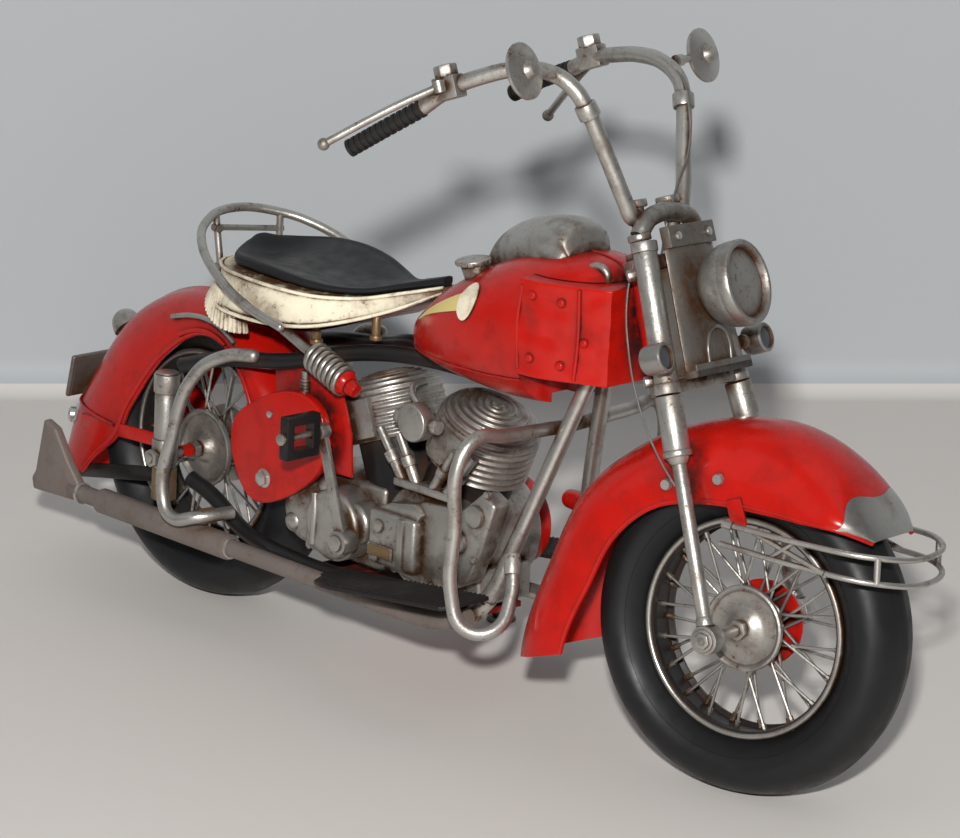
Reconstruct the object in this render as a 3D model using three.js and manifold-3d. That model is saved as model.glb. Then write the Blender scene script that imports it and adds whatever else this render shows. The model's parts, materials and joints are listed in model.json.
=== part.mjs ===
// A handmade tinplate display motorcycle: a 1950s-style V-twin tourer with plunger rear end.
// Millimetres. The bike is modelled upright with +X forward, +Y its left side and +Z up, its origin on the
// ground midway between the axles. The whole bike then leans on its side stand, and the exported group is
// moved so that the middle of its box's bottom is the origin.
import * as THREE from "three";
import { mergeVertices } from "three/addons/utils/BufferGeometryUtils.js";
import Module from "manifold-3d";

const wasm = await Module();
wasm.setup();

// ---- Driving dimensions -------------------------------------------------------------------------------
const WHEELBASE = 241.6;
const TYRE_RADIUS = 52;
const TYRE_HALF_WIDTH = 12.2;
const TYRE_FACETS = 28;
const RIM_RADIUS = 33.6;
const RIM_HALF_WIDTH = 6.2;
const SPOKES_PER_SIDE = 10;
const SPOKE_RADIUS = 0.55;
const HUB_HALF_WIDTH = 5;
const DISC_RADIUS = 13.2;
const AXLE_RADIUS = 1.6;

const RAKE = 21.5; // degrees, steering axis back from upright
const STEER = 12.95; // degrees, bars turned to the left at rest
const FORK_OFFSET = 12; // front axle ahead of the steering axis
const LEAN = 3.94; // degrees, the bike's lean on to its side stand
const LEG_SPREAD = 27.9; // half the spacing of the fork legs at the axle
const LEG_TAPER = 0.1; // how far each leg leans in for each mm of height
const COVER_RADIUS = 3.7;
const SLIDER_RADIUS = 4.1;
const LEG_RADIUS = 2.2;
const STEM_RADIUS = 3;
const BAR_RADIUS = 2.5;
const GRIP_RADIUS = 3.3;
const LAMP_RADIUS = 13;
const MIRROR_RADIUS = 8.6;

const FRAME_TUBE_RADIUS = 2.7;
const CRASH_TUBE_RADIUS = 2.2;
const PLUNGER_SPREAD = 24;
const PLUNGER_RADIUS = 4.4;
const FENDER_HALF_WIDTH = 20;
const SHEET = 0.8; // tin sheet
const EXHAUST_SIDE = 29; // the exhaust's distance from the middle plane
const PIPE_RADIUS = 3;
const MUFFLER_RADIUS = 4.3;
const TANK_HALF_WIDTH = 26;
const SEAT_HALF_WIDTH = 29;
const CYLINDER_RADIUS = 17;
const V_ANGLE = 21.5; // degrees, each cylinder from upright
const ENGINE_HALF_WIDTH = 18;
const FOOTBOARD_SPREAD = 36;
const STAND_SPREAD = 50;
const GAP = 0.3; // between pieces that meet

// ---- Finishes -----------------------------------------------------------------------------------------
const paint = (color, roughness, metalness) =>
  new THREE.MeshStandardMaterial({ color, roughness, metalness });
const RED = paint(0xb01812, 0.35, 0.1);
const SILVER = paint(0x9c9a96, 0.42, 0.8);
const GREY = paint(0x5f5a55, 0.5, 0.6);
const DULL = paint(0x8c8079, 0.6, 0.4);
const BLACK = paint(0x161618, 0.4, 0.1);
const CREAM = paint(0xe6dcc0, 0.5, 0);
const RUBBER = paint(0x1b1b1d, 0.7, 0);

// ---- Geometry helpers ---------------------------------------------------------------------------------
const v = (x, y, z) => new THREE.Vector3(x, y, z);
const radians = THREE.MathUtils.degToRad;
const lerp = THREE.MathUtils.lerp;

function solid(geometry) {
  const bare = geometry.clone();
  bare.deleteAttribute("normal");
  bare.deleteAttribute("uv");
  const merged = mergeVertices(bare, 1e-4);
  return new wasm.Manifold(
    new wasm.Mesh({
      numProp: 3,
      vertProperties: merged.attributes.position.array,
      triVerts: new Uint32Array(merged.index.array),
    }),
  );
}

function geometryOf(manifold) {
  const mesh = manifold.getMesh();
  const geometry = new THREE.BufferGeometry();
  geometry.setAttribute("position", new THREE.BufferAttribute(mesh.vertProperties, 3));
  geometry.setIndex(new THREE.BufferAttribute(mesh.triVerts, 1));
  return geometry;
}

const joined = (...parts) => geometryOf(parts.map(solid).reduce((a, b) => a.add(b)));
const cut = (from, ...tools) => geometryOf(tools.map(solid).reduce((a, b) => a.subtract(b), solid(from)));

// Points of a circle in a plane, for sections.
const circle = (radius, sides) =>
  Array.from({ length: sides }, (_, i) => {
    const turn = ((i + 0.5) / sides) * 2 * Math.PI;
    return new THREE.Vector2(radius * Math.cos(turn), radius * Math.sin(turn));
  });

// A round bar along a smooth curve through the points.
function tube(points, radius, steps = points.length * 3, sides = 6) {
  const path = new THREE.CatmullRomCurve3(points, false, "centripetal");
  const section = new THREE.Shape(circle(radius, sides));
  return new THREE.ExtrudeGeometry(section, { steps, bevelEnabled: false, extrudePath: path });
}

// A straight bar, or a cone when endRadius differs.
function rod(from, to, radius, sides = 8, endRadius = radius) {
  const span = to.clone().sub(from);
  const turn = new THREE.Quaternion().setFromUnitVectors(v(0, 1, 0), span.clone().normalize());
  const middle = from.clone().add(to).multiplyScalar(0.5);
  return new THREE.CylinderGeometry(endRadius, radius, span.length(), sides)
    .applyQuaternion(turn)
    .translate(middle.x, middle.y, middle.z);
}

// A turned piece about the Y axis, from [radius, height] pairs that close on themselves or on the axis.
function turned(profile, facets) {
  const points = profile.map(([radius, height]) => new THREE.Vector2(radius, height));
  return new THREE.LatheGeometry(points, facets);
}

const closedLoop = (profile) => [...profile, profile[0]];

// A flat plate: an outline of [x, z] pairs, thick from y = low to y = high.
function plate(outline, low, high) {
  const shape = new THREE.Shape(outline.map(([x, z]) => new THREE.Vector2(x, z)));
  return new THREE.ExtrudeGeometry(shape, { depth: high - low, bevelEnabled: false })
    .rotateX(Math.PI / 2)
    .translate(0, high, 0);
}

function box(low, high) {
  const size = high.clone().sub(low);
  const middle = low.clone().add(high).multiplyScalar(0.5);
  return new THREE.BoxGeometry(size.x, size.y, size.z).translate(middle.x, middle.y, middle.z);
}

// A skin over rings of equally many points, closed at both ends. Each ring is read as two facing rows.
function loft(rings) {
  const count = rings[0].length;
  const at = (ring, point) => ring * count + (point % count);
  const index = [];
  const quad = (a, b, c, d) => index.push(a, b, c, a, c, d);
  for (let ring = 0; ring < rings.length - 1; ring++)
    for (let point = 0; point < count; point++)
      quad(at(ring, point), at(ring, point + 1), at(ring + 1, point + 1), at(ring + 1, point));
  const last = rings.length - 1;
  for (let point = 0; point < count / 2 - 1; point++) {
    const facing = count - 1 - point;
    quad(at(0, point), at(0, facing), at(0, facing - 1), at(0, point + 1));
    quad(at(last, point), at(last, point + 1), at(last, facing - 1), at(last, facing));
  }
  const geometry = new THREE.BufferGeometry();
  geometry.setAttribute(
    "position",
    new THREE.Float32BufferAttribute(rings.flat().flatMap((point) => [point.x, point.y, point.z]), 3),
  );
  geometry.setIndex(index);
  return solid(geometry).volume() > 0 ? geometry : turnedOver(geometry);
}

function turnedOver(geometry) {
  geometry.setIndex(Array.from(geometry.index.array).reverse());
  return geometry;
}

// A ring across X: half-width, floor and ceiling, rounded by the exponent of a superellipse.
function ovalRing(x, halfWidth, floor, ceiling, sides = 16, fullness = 2.3) {
  const power = (value) => Math.sign(value) * Math.abs(value) ** (2 / fullness);
  return Array.from({ length: sides }, (_, i) => {
    const turn = ((i + 0.5) / sides) * 2 * Math.PI;
    const height = (power(Math.sin(turn)) + 1) / 2;
    return v(x, halfWidth * power(Math.cos(turn)), lerp(floor, ceiling, height));
  });
}

// The value at a place along a list of [place, value] pairs, joined smoothly.
function along(pairs, place) {
  const next = Math.max(1, pairs.findIndex(([at]) => at >= place));
  const [[from, low], [to, high]] = [pairs[next - 1], pairs[next]];
  return lerp(low, high, THREE.MathUtils.smoothstep(place, from, to) * 0.4 + ((place - from) / (to - from)) * 0.6);
}

const mirrored = (points) => points.map((point) => v(point.x, -point.y, point.z));

// ---- Anchors ------------------------------------------------------------------------------------------
const facetSag = Math.cos(Math.PI / TYRE_FACETS); // a tyre stands on one of its flats
const axleHeight = TYRE_RADIUS * facetSag;
const rearAxle = v(-WHEELBASE / 2, 0, axleHeight);
const frontAxle = v(WHEELBASE / 2, 0, axleHeight);
const rake = radians(RAKE);
const steeringFoot = v(
  frontAxle.x - FORK_OFFSET * Math.cos(rake),
  0,
  frontAxle.z - FORK_OFFSET * Math.sin(rake),
); // where the steering axis passes closest to the front axle
const onSteeringAxis = (height) =>
  v(steeringFoot.x - height * Math.sin(rake), 0, steeringFoot.z + height * Math.cos(rake));

// Heights along the steering axis
const LOWER_YOKE = 75;
const HEAD_LOW = LOWER_YOKE + 2 + GAP * 2;
const HEAD_HIGH = 110;
const UPPER_YOKE = HEAD_HIGH + GAP * 2 + 2;
const COVER_TOP = 119;
const HEAD_RADIUS = STEM_RADIUS + 2.2;
const headLow = onSteeringAxis(HEAD_LOW);
const headHigh = onSteeringAxis(HEAD_HIGH);
const neck = onSteeringAxis((HEAD_LOW + HEAD_HIGH) / 2);

// The bottom frame rails
const RAIL_HEIGHT = 29;
const RAIL_SPREAD = 16;

// ---- Groups -------------------------------------------------------------------------------------------
const motorcycle = new THREE.Group();
const bike = new THREE.Group();
bike.rotation.x = -radians(LEAN);
motorcycle.add(bike);

const steeringAxis = new THREE.Group(); // local X ahead of the axis, Y to the left, Z up along it
steeringAxis.position.copy(steeringFoot);
steeringAxis.rotation.y = -rake;
const steering = new THREE.Group();
steering.rotation.z = radians(STEER);
bike.add(steeringAxis);
steeringAxis.add(steering);

const frontWheel = new THREE.Group();
frontWheel.position.x = FORK_OFFSET;
frontWheel.rotation.y = rake;
steering.add(frontWheel);
const rearWheel = new THREE.Group();
rearWheel.position.copy(rearAxle);
bike.add(rearWheel);

function piece(group, name, geometry, material) {
  const mesh = new THREE.Mesh(geometry, material);
  mesh.name = name;
  group.add(mesh);
  return mesh;
}

// ---- Wheels: each about its own axle, along Y ---------------------------------------------------------
const half = Math.PI / TYRE_FACETS; // turns a flat to the bottom
const bore = AXLE_RADIUS + GAP;

function tyre() {
  const bead = RIM_RADIUS + GAP;
  const middle = (bead + TYRE_RADIUS) / 2;
  const depth = (TYRE_RADIUS - bead) / 2;
  const sweep = radians(126);
  const crown = 8;
  const wall = Array.from({ length: crown + 1 }, (_, i) => {
    const turn = lerp(-sweep, sweep, i / crown);
    return [middle + depth * Math.cos(turn), TYRE_HALF_WIDTH * Math.sin(turn)];
  });
  const profile = closedLoop([[bead, -RIM_HALF_WIDTH], ...wall, [bead, RIM_HALF_WIDTH]]);
  return turned(profile, TYRE_FACETS).rotateY(half);
}

function rim() {
  const lip = 2;
  const wall = 1.2;
  const edge = 1.4;
  const well = RIM_HALF_WIDTH - edge;
  const band = turned(
    closedLoop([
      [RIM_RADIUS, -RIM_HALF_WIDTH],
      [RIM_RADIUS, RIM_HALF_WIDTH],
      [RIM_RADIUS - lip, RIM_HALF_WIDTH],
      [RIM_RADIUS - lip, well],
      [RIM_RADIUS - wall, well],
      [RIM_RADIUS - wall, -well],
      [RIM_RADIUS - lip, -well],
      [RIM_RADIUS - lip, -RIM_HALF_WIDTH],
    ]),
    TYRE_FACETS,
  ).rotateY(half);
  return joined(band, hub(), ...spokes(RIM_RADIUS - wall / 2));
}

const FLANGE_RADIUS = 8;
const FLANGE = 1.4;
function hub() {
  const barrel = 5;
  const inner = HUB_HALF_WIDTH - FLANGE;
  return turned(
    closedLoop([
      [bore, -HUB_HALF_WIDTH],
      [FLANGE_RADIUS, -HUB_HALF_WIDTH],
      [FLANGE_RADIUS, -inner],
      [barrel, -inner],
      [barrel, inner],
      [FLANGE_RADIUS, inner],
      [FLANGE_RADIUS, HUB_HALF_WIDTH],
      [bore, HUB_HALF_WIDTH],
    ]),
    12,
  );
}

// Laced in pairs: every second spoke leans the other way round the wheel.
function spokes(reach) {
  const lace = radians(38);
  const sides = 3;
  const rootRadius = FLANGE_RADIUS - 1;
  return [-1, 1].flatMap((side) =>
    Array.from({ length: SPOKES_PER_SIDE }, (_, i) => {
      const leaning = i % 2 ? 1 : -1;
      const rimTurn = (i / SPOKES_PER_SIDE) * 2 * Math.PI + (side > 0 ? Math.PI / SPOKES_PER_SIDE : 0);
      const hubTurn = rimTurn + leaning * lace;
      const rootY = side * (HUB_HALF_WIDTH - FLANGE / 2 - (i % 2 ? 0.25 : -0.25));
      const tipY = side * (RIM_HALF_WIDTH / 2);
      return rod(
        v(rootRadius * Math.sin(hubTurn), rootY, rootRadius * Math.cos(hubTurn)),
        v(reach * Math.sin(rimTurn), tipY, reach * Math.cos(rimTurn)),
        SPOKE_RADIUS,
        sides,
      );
    }),
  );
}

const DISC_BACK = HUB_HALF_WIDTH + GAP;
function brakeDisc(side, noseLength) {
  const flat = DISC_BACK + 0.9;
  const lip = DISC_BACK + 1.8;
  const nose = flat + noseLength;
  const disc = turned(
    closedLoop([
      [bore, DISC_BACK],
      [DISC_RADIUS, DISC_BACK],
      [DISC_RADIUS, lip],
      [DISC_RADIUS - 1.4, lip],
      [DISC_RADIUS - 2, flat],
      [5, flat],
      [3.4, nose],
      [bore, nose],
    ]),
    18,
  );
  return side < 0 ? disc.rotateX(Math.PI) : disc;
}

// The rear hub carries its sprocket on the left, in one piece with it.
const sprocket = () =>
  turned(
    closedLoop([
      [bore, HUB_HALF_WIDTH - 1],
      [DISC_RADIUS, HUB_HALF_WIDTH - 1],
      [DISC_RADIUS, HUB_HALF_WIDTH + 1],
      [bore, HUB_HALF_WIDTH + 1],
    ]),
    18,
  );

const NOSE = 2.2;
const CONE = 3.4;
piece(frontWheel, "front_tyre", tyre(), RUBBER);
piece(frontWheel, "front_rim", rim(), SILVER);
piece(frontWheel, "front_brake_disc_right", brakeDisc(-1, NOSE), SILVER);
piece(frontWheel, "front_brake_disc_left", brakeDisc(1, NOSE), RED);
piece(rearWheel, "rear_tyre", tyre(), RUBBER);
piece(rearWheel, "rear_rim", joined(rim(), sprocket()), SILVER);
piece(rearWheel, "rear_brake_disc_right", brakeDisc(-1, CONE), SILVER);

// ---- Fork, in steering coordinates --------------------------------------------------------------------
const legAt = (side, height, ahead = FORK_OFFSET) => v(ahead, side * (LEG_SPREAD - LEG_TAPER * height), height);
const AXLE_BOSS = 4.4;
const BOSS_HALF = 2.8;
const SLIDER_LOW = 54;

function frontAxleBar() {
  const end = LEG_SPREAD + BOSS_HALF + 1.2;
  const nutFrom = DISC_BACK + 0.9 + NOSE + GAP;
  const nuts = [-1, 1].map((side) =>
    rod(v(FORK_OFFSET, side * nutFrom, 0), v(FORK_OFFSET, side * (nutFrom + 2.6), 0), 3.2, 6),
  );
  return joined(rod(v(FORK_OFFSET, -end, 0), v(FORK_OFFSET, end, 0), AXLE_RADIUS, 12), ...nuts);
}
piece(steering, "front_axle", frontAxleBar(), SILVER);

function forkLeg(side) {
  const axle = v(FORK_OFFSET, side * LEG_SPREAD, 0);
  const boss = rod(
    v(axle.x, axle.y - BOSS_HALF, 0),
    v(axle.x, axle.y + BOSS_HALF, 0),
    AXLE_BOSS,
    12,
  );
  const thin = rod(legAt(side, 1), legAt(side, SLIDER_LOW + 2), LEG_RADIUS, 10);
  const taper = rod(legAt(side, SLIDER_LOW - 2), legAt(side, SLIDER_LOW + 1), LEG_RADIUS, 10, SLIDER_RADIUS);
  const slider = rod(legAt(side, SLIDER_LOW + 1), legAt(side, LOWER_YOKE - 2 - GAP), SLIDER_RADIUS, 12);
  const hole = rod(
    v(axle.x, axle.y - BOSS_HALF * 2, 0),
    v(axle.x, axle.y + BOSS_HALF * 2, 0),
    bore,
    12,
  );
  return cut(joined(boss, thin, taper, slider), hole);
}
piece(steering, "fork_leg_right", forkLeg(-1), SILVER);
piece(steering, "fork_leg_left", forkLeg(1), SILVER);

// Stem, upper and lower yoke plates, and the two fat cover tubes between them.
function forkYoke() {
  const plateAt = (height) => {
    const spread = legAt(1, height).y;
    const outline = [
      [-STEM_RADIUS - 1.2, -4],
      [FORK_OFFSET - 3, -spread],
      [FORK_OFFSET + 2, -spread],
      [FORK_OFFSET + 2, spread],
      [FORK_OFFSET - 3, spread],
      [-STEM_RADIUS - 1.2, 4],
    ];
    const shape = new THREE.Shape(outline.map(([x, y]) => new THREE.Vector2(x, y)));
    return new THREE.ExtrudeGeometry(shape, { depth: 4, bevelEnabled: false }).translate(0, 0, height - 2);
  };
  const covers = [-1, 1].flatMap((side) => [
    rod(legAt(side, LOWER_YOKE - 2), legAt(side, COVER_TOP), COVER_RADIUS, 12),
    rod(legAt(side, UPPER_YOKE - 2), legAt(side, COVER_TOP), COVER_RADIUS + 0.5, 12),
  ]);
  const stem = rod(v(0, 0, LOWER_YOKE - 2), v(0, 0, UPPER_YOKE + 3), STEM_RADIUS, 12);
  return joined(stem, plateAt(LOWER_YOKE), plateAt(UPPER_YOKE), ...covers);
}
piece(steering, "fork_yoke", forkYoke(), SILVER);

// The sheet-metal nacelle: a face in front of the cover tubes, with a band above and a tray below.
const NACELLE_BACK = FORK_OFFSET + COVER_RADIUS + 0.5 + GAP;
const NACELLE_FACE = NACELLE_BACK + 2.6;
const LAMP_HEIGHT = 101;
function nacelle() {
  const low = LOWER_YOKE + 3;
  const high = UPPER_YOKE + 9.5;
  const corner = (x, y, z) => v(x, y, z);
  const ringAt = (height, width) => [
    corner(NACELLE_BACK, -width, height),
    corner(NACELLE_FACE, -width, height),
    corner(NACELLE_FACE, width, height),
    corner(NACELLE_BACK, width, height),
  ];
  const face = loft([ringAt(low, 15.5), ringAt(high, 12.4)]);
  const core = box(v(HEAD_RADIUS + 2 * GAP, -7, LOWER_YOKE + 2 + GAP), v(NACELLE_FACE - 1, 7, UPPER_YOKE - 2 - GAP));
  const band = box(v(NACELLE_BACK, -13.4, high - 7), v(NACELLE_FACE + 1.2, 13.4, high));
  const tray = box(v(NACELLE_BACK, -16.4, low - 2), v(NACELLE_FACE + 2.2, 16.4, low + 0.6));
  return joined(face, core, band, tray);
}
piece(steering, "nacelle", nacelle(), GREY);

// Turned lamps point ahead: their axis goes along X.
const facingAhead = (geometry) => geometry.rotateZ(-Math.PI / 2);

function headlamp() {
  const depth = 16;
  const bowl = turned(
    [
      [0, 0],
      [4, 0],
      [7.6, 2.4],
      [10.4, 6.4],
      [LAMP_RADIUS - 0.9, 11.6],
      [LAMP_RADIUS, 12.2],
      [LAMP_RADIUS, depth],
      [LAMP_RADIUS - 1.8, depth],
      [LAMP_RADIUS - 2.4, depth - 2],
      [0, depth - 1.4],
    ],
    24,
  );
  return facingAhead(bowl).translate(NACELLE_FACE + GAP, 0, LAMP_HEIGHT);
}
piece(steering, "headlamp", headlamp(), GREY);

const SPOT_HEIGHT = 84;
function spotLamp(side) {
  const radius = 4.6;
  const length = 8;
  const can = turned(
    [
      [0, 0],
      [radius * 0.7, 0],
      [radius, 1.6],
      [radius, length],
      [radius - 1, length],
      [radius - 1.4, length - 1],
      [0, length - 1],
    ],
    14,
  );
  const spread = legAt(side, SPOT_HEIGHT).y + side * (COVER_RADIUS + GAP + radius + 2);
  const body = facingAhead(can).translate(FORK_OFFSET, spread, SPOT_HEIGHT);
  const neckEnd = legAt(side, SPOT_HEIGHT, FORK_OFFSET + 3).add(v(0, side * (COVER_RADIUS + GAP), 0));
  const arm = rod(neckEnd, v(FORK_OFFSET + 3, spread, SPOT_HEIGHT), 1.4, 8);
  return joined(body, arm);
}
piece(steering, "spot_lamp_right", spotLamp(-1), GREY);
piece(steering, "spot_lamp_left", spotLamp(1), GREY);

// ---- Handlebar: a crown tube over the yoke, two posts and the two tall bars ---------------------------
const CROWN_RADIUS = 2.9;
const POST_SPREAD = 9.5;
const POST_AHEAD = 8;
const POST_TOP = 132;
// The bars are bent by hand, so the left one ends a little higher than the right one.
const LEFT_LIFT = 12;
const barPath = (side) =>
  [
    v(POST_AHEAD, POST_SPREAD, 127.5),
    v(POST_AHEAD + 0.5, POST_SPREAD + 4, 126.8),
    v(9.3, POST_SPREAD + 7.5, 132),
    v(9.8, 22.5, 146),
    v(10, 28, 160),
    v(8.6, 30.5, 167),
    v(3.5, 32.5, 173),
    v(-5, 35.4, 176.4),
    v(-16, 38.8, 177),
    v(-27, 41.8, 175.6),
    v(-37, 44, 172),
    v(-50, 46.3, 168.8),
    v(-62, 48, 165.8),
  ].map(({ x, y, z }) => {
    const lift = side > 0 ? LEFT_LIFT * THREE.MathUtils.smoothstep(-x, -8, 66) : 0;
    return v(x, side * y, z + lift);
  });
const CLAMP = 9; // the bar point under the lever clamp
const ELBOW = 5; // the bar point that carries the mirror

const PERCH_HALF = 4;

function handlebar() {
  const crownLow = COVER_TOP + GAP + 1.6;
  const crownHigh = 126;
  const spread = legAt(1, COVER_TOP).y;
  const crown = tube(
    [
      v(FORK_OFFSET - 1, -spread, crownLow),
      v(FORK_OFFSET, -spread + 2, crownHigh - 2.4),
      v(FORK_OFFSET, -spread + 7, crownHigh),
      v(FORK_OFFSET, spread - 7, crownHigh),
      v(FORK_OFFSET, spread - 2, crownHigh - 2.4),
      v(FORK_OFFSET - 1, spread, crownLow),
    ],
    CROWN_RADIUS,
    16,
  );
  const sides = [-1, 1].flatMap((side) => {
    const path = barPath(side);
    const clamp = path[CLAMP];
    const collar = path[4];
    const grip = path.slice(CLAMP + 1);
    return [
      rod(v(POST_AHEAD, side * POST_SPREAD, 122), v(POST_AHEAD, side * POST_SPREAD, POST_TOP), 2.4, 10),
      rod(v(POST_AHEAD, side * POST_SPREAD, POST_TOP - 2), v(POST_AHEAD, side * POST_SPREAD, POST_TOP), 3.7, 12),
      tube(path, BAR_RADIUS, 18),
      tube(grip, GRIP_RADIUS, 5, 8),
      rod(collar.clone().add(v(0, 0, -2.2)), collar.clone().add(v(0, 0, 2.2)), BAR_RADIUS + 0.9, 12),
      box(
        clamp.clone().add(v(-PERCH_HALF, -PERCH_HALF + 1, -PERCH_HALF + 1)),
        clamp.clone().add(v(PERCH_HALF, PERCH_HALF - 1, PERCH_HALF)),
      ),
      rod(clamp.clone().add(v(0, 0, PERCH_HALF - 1)), clamp.clone().add(v(0, 0, PERCH_HALF + 3.6)), 3.8, 6),
    ];
  });
  return joined(crown, ...sides);
}
piece(steering, "handlebar", handlebar(), SILVER);

// Each lever swings on the outside of its clamp block.
function handLever(side) {
  const root = barPath(side)[CLAMP].add(v(0, side * (PERCH_HALF + GAP + 1), 1));
  const hang = side > 0 ? 13 : 9;
  const reach = [0, 0.33, 0.7, 1].map((share) =>
    v(root.x - 34 * share, root.y + side * 16 * share, root.z - hang * share ** 1.2),
  );
  const blade = tube(reach, 1.25, 6, 6);
  const ball = new THREE.SphereGeometry(1.9, 8, 6).translate(...reach[3].toArray());
  const eye = rod(v(root.x, root.y, root.z - 1.8), v(root.x, root.y, root.z + 1.8), 1.9, 10);
  return joined(blade, ball, eye);
}
piece(steering, "hand_lever_right", handLever(-1), SILVER);
piece(steering, "hand_lever_left", handLever(1), SILVER);

function mirror(side) {
  const elbow = barPath(side)[ELBOW + 1];
  const spread = 52;
  const glass = v(6, side * spread, 174);
  const arm = rod(v(elbow.x + 2, side * (elbow.y * side + BAR_RADIUS + 1.2), elbow.z), glass, 1.2, 8);
  const dish = facingAhead(
    turned(
      [
        [0, -0.6],
        [MIRROR_RADIUS - 1, -0.6],
        [MIRROR_RADIUS, 0],
        [MIRROR_RADIUS, 1],
        [MIRROR_RADIUS - 2, 1.4],
        [3, 2.2],
        [2.2, 4.4],
        [0, 4.4],
      ],
      18,
    ),
  ).translate(glass.x, glass.y, glass.z);
  return joined(arm, dish);
}
piece(steering, "mirror_right", mirror(-1), SILVER);
piece(steering, "mirror_left", mirror(1), SILVER);

// ---- Fenders: a rounded skin swept round an axle ------------------------------------------------------
// stations: [angle from upright, radius of the ridge, radius of the side edge], degrees and mm, ahead positive.
function fender(stations, halfWidth, taper) {
  const steps = 14;
  const across = 9;
  const first = stations[0][0];
  const last = stations[stations.length - 1][0];
  const ridge = stations.map(([turn, high]) => [turn, high]);
  const edge = stations.map(([turn, , low]) => [turn, low]);
  const skinPoint = (turn, t, inset) => {
    const width = halfWidth * taper((turn - first) / (last - first)) - inset;
    const high = along(ridge, turn) - inset;
    const low = Math.min(along(edge, turn), high - 2);
    const lean = t * (Math.PI / 2);
    const y = width * Math.sign(lean) * Math.abs(Math.sin(lean)) ** 0.85;
    const radius = low + (high - low) * Math.cos(lean) ** 0.8;
    return v(radius * Math.sin(radians(turn)), y, radius * Math.cos(radians(turn)));
  };
  const rings = Array.from({ length: steps + 1 }, (_, i) => {
    const turn = lerp(first, last, i / steps);
    const row = Array.from({ length: across }, (_, j) => (j / (across - 1)) * 2 - 1);
    const outer = row.map((t) => skinPoint(turn, t * 0.999, 0));
    const inner = row.map((t) => skinPoint(turn, t * 0.999, SHEET));
    return [...outer, ...inner.reverse()];
  });
  return loft(rings);
}

const FENDER_AIR = 1; // between the tyre's crown and the sheet
const overTyre = TYRE_RADIUS + FENDER_AIR + SHEET;
const FRONT_FENDER = [
  [-87, overTyre + 26, 56],
  [-64, overTyre + 16, 47],
  [-40, overTyre + 13.5, 45],
  [-20, overTyre + 10.5, 43],
  [6, overTyre + 9, 39],
  [30, overTyre + 9.5, 39],
  [50, overTyre + 7.5, 44],
  [62, overTyre + 4.8, 51],
  [71, overTyre + 3.4, 56],
];
const REAR_FENDER = [
  [-110, overTyre + 22, 50],
  [-95, overTyre + 15, 32],
  [-71, overTyre + 4.5, 27.5],
  [-42, overTyre + 1.2, 27.5],
  [-12, overTyre, 34],
  [20, overTyre, 46],
  [52, overTyre, 44],
  [72, overTyre + 1, 40],
];
const flare = (t) => 1 - 0.1 * Math.sin(Math.PI * t);
piece(
  steering,
  "front_fender",
  fender(FRONT_FENDER, FENDER_HALF_WIDTH + 1.5, flare).translate(FORK_OFFSET, 0, 0),
  RED,
);
piece(
  bike,
  "rear_fender",
  fender(REAR_FENDER, FENDER_HALF_WIDTH, flare).translate(rearAxle.x, 0, rearAxle.z),
  RED,
);

// Two wires that wrap the front of the fender, tied by struts.
function bumperRail() {
  const wire = 0.9;
  const wrap = (back, front) => {
    const near = [v(back.x, back.y, back.z), v((back.x + front.x) / 2, back.y, (back.z + front.z) / 2)];
    const bend = back.clone().lerp(front, 0.88).setY(front.y - 4);
    const nose = v(front.x, 0, front.z - 1);
    return tube([...near, bend, nose, ...mirrored([...near, bend]).reverse()], wire, 16, 5);
  };
  const spread = FENDER_HALF_WIDTH + 4.5;
  const upper = [v(FORK_OFFSET + 13, spread, 32), v(FORK_OFFSET + 63, spread - 1, 11.5)];
  const lower = [v(FORK_OFFSET + 9, spread, 27), v(FORK_OFFSET + 61, spread - 1, 4)];
  const at = (wireEnds, share, side) => wireEnds[0].clone().lerp(wireEnds[1], share).setY(side * spread);
  const struts = [-1, 1].flatMap((side) => [
    rod(at(upper, 0.14, side), at(lower, 0.62, side), wire, 5),
    rod(at(upper, 0, side), at(lower, 0, side), wire, 5),
    rod(at(lower, 0.3, side), at(upper, 0.42, side), wire, 5),
    rod(
      at(upper, 0.88, side).setY(side * (spread - 5)),
      at(lower, 0.88, side).setY(side * (spread - 5)),
      1.3 * wire,
      5,
    ),
  ]);
  return joined(wrap(upper[0], upper[1]), wrap(lower[0], lower[1]), ...struts);
}
piece(steering, "bumper_rail", bumperRail(), SILVER);

// ---- Frame tubes --------------------------------------------------------------------------------------
const coverLow = headLow.z - 3;
const coverHigh = headHigh.z - 3;
const coverFront = neck.x - 5;
const coverBack = coverFront - 28;
const COVER_HALF = 17;

const TUBE_TOP = 104.8; // height of the upper tubes under the tank
function upperFrameTubes() {
  const side = [
    v(rearAxle.x + 8, PLUNGER_SPREAD, rearAxle.z + 33),
    v(rearAxle.x + 26, PLUNGER_SPREAD - 0.6, rearAxle.z + 39),
    v(rearAxle.x + 56, 20.5, rearAxle.z + 44.5),
    v(-40, 11.5, 103),
    v(-20, 5, TUBE_TOP),
    v(8, 2.2, TUBE_TOP),
    v(coverBack - 2, 2.2, TUBE_TOP),
  ];
  return joined(tube(side, FRAME_TUBE_RADIUS, 16), tube(mirrored(side), FRAME_TUBE_RADIUS, 16));
}
piece(bike, "upper_frame_tubes", upperFrameTubes(), BLACK);

const PLUNGER_LOW = rearAxle.z - 15;
const PLUNGER_HIGH = rearAxle.z + 29;
const STAND_PIVOT = v(-38, RAIL_SPREAD + FRAME_TUBE_RADIUS + 5, RAIL_HEIGHT - 1);
const STAND_TILT = radians(45.4); // the stand's hinge pin rises outwards, so the leg folds up under the rail
const standPin = (along) =>
  v(0, Math.cos(STAND_TILT), Math.sin(STAND_TILT)).multiplyScalar(along).add(STAND_PIVOT);

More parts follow.
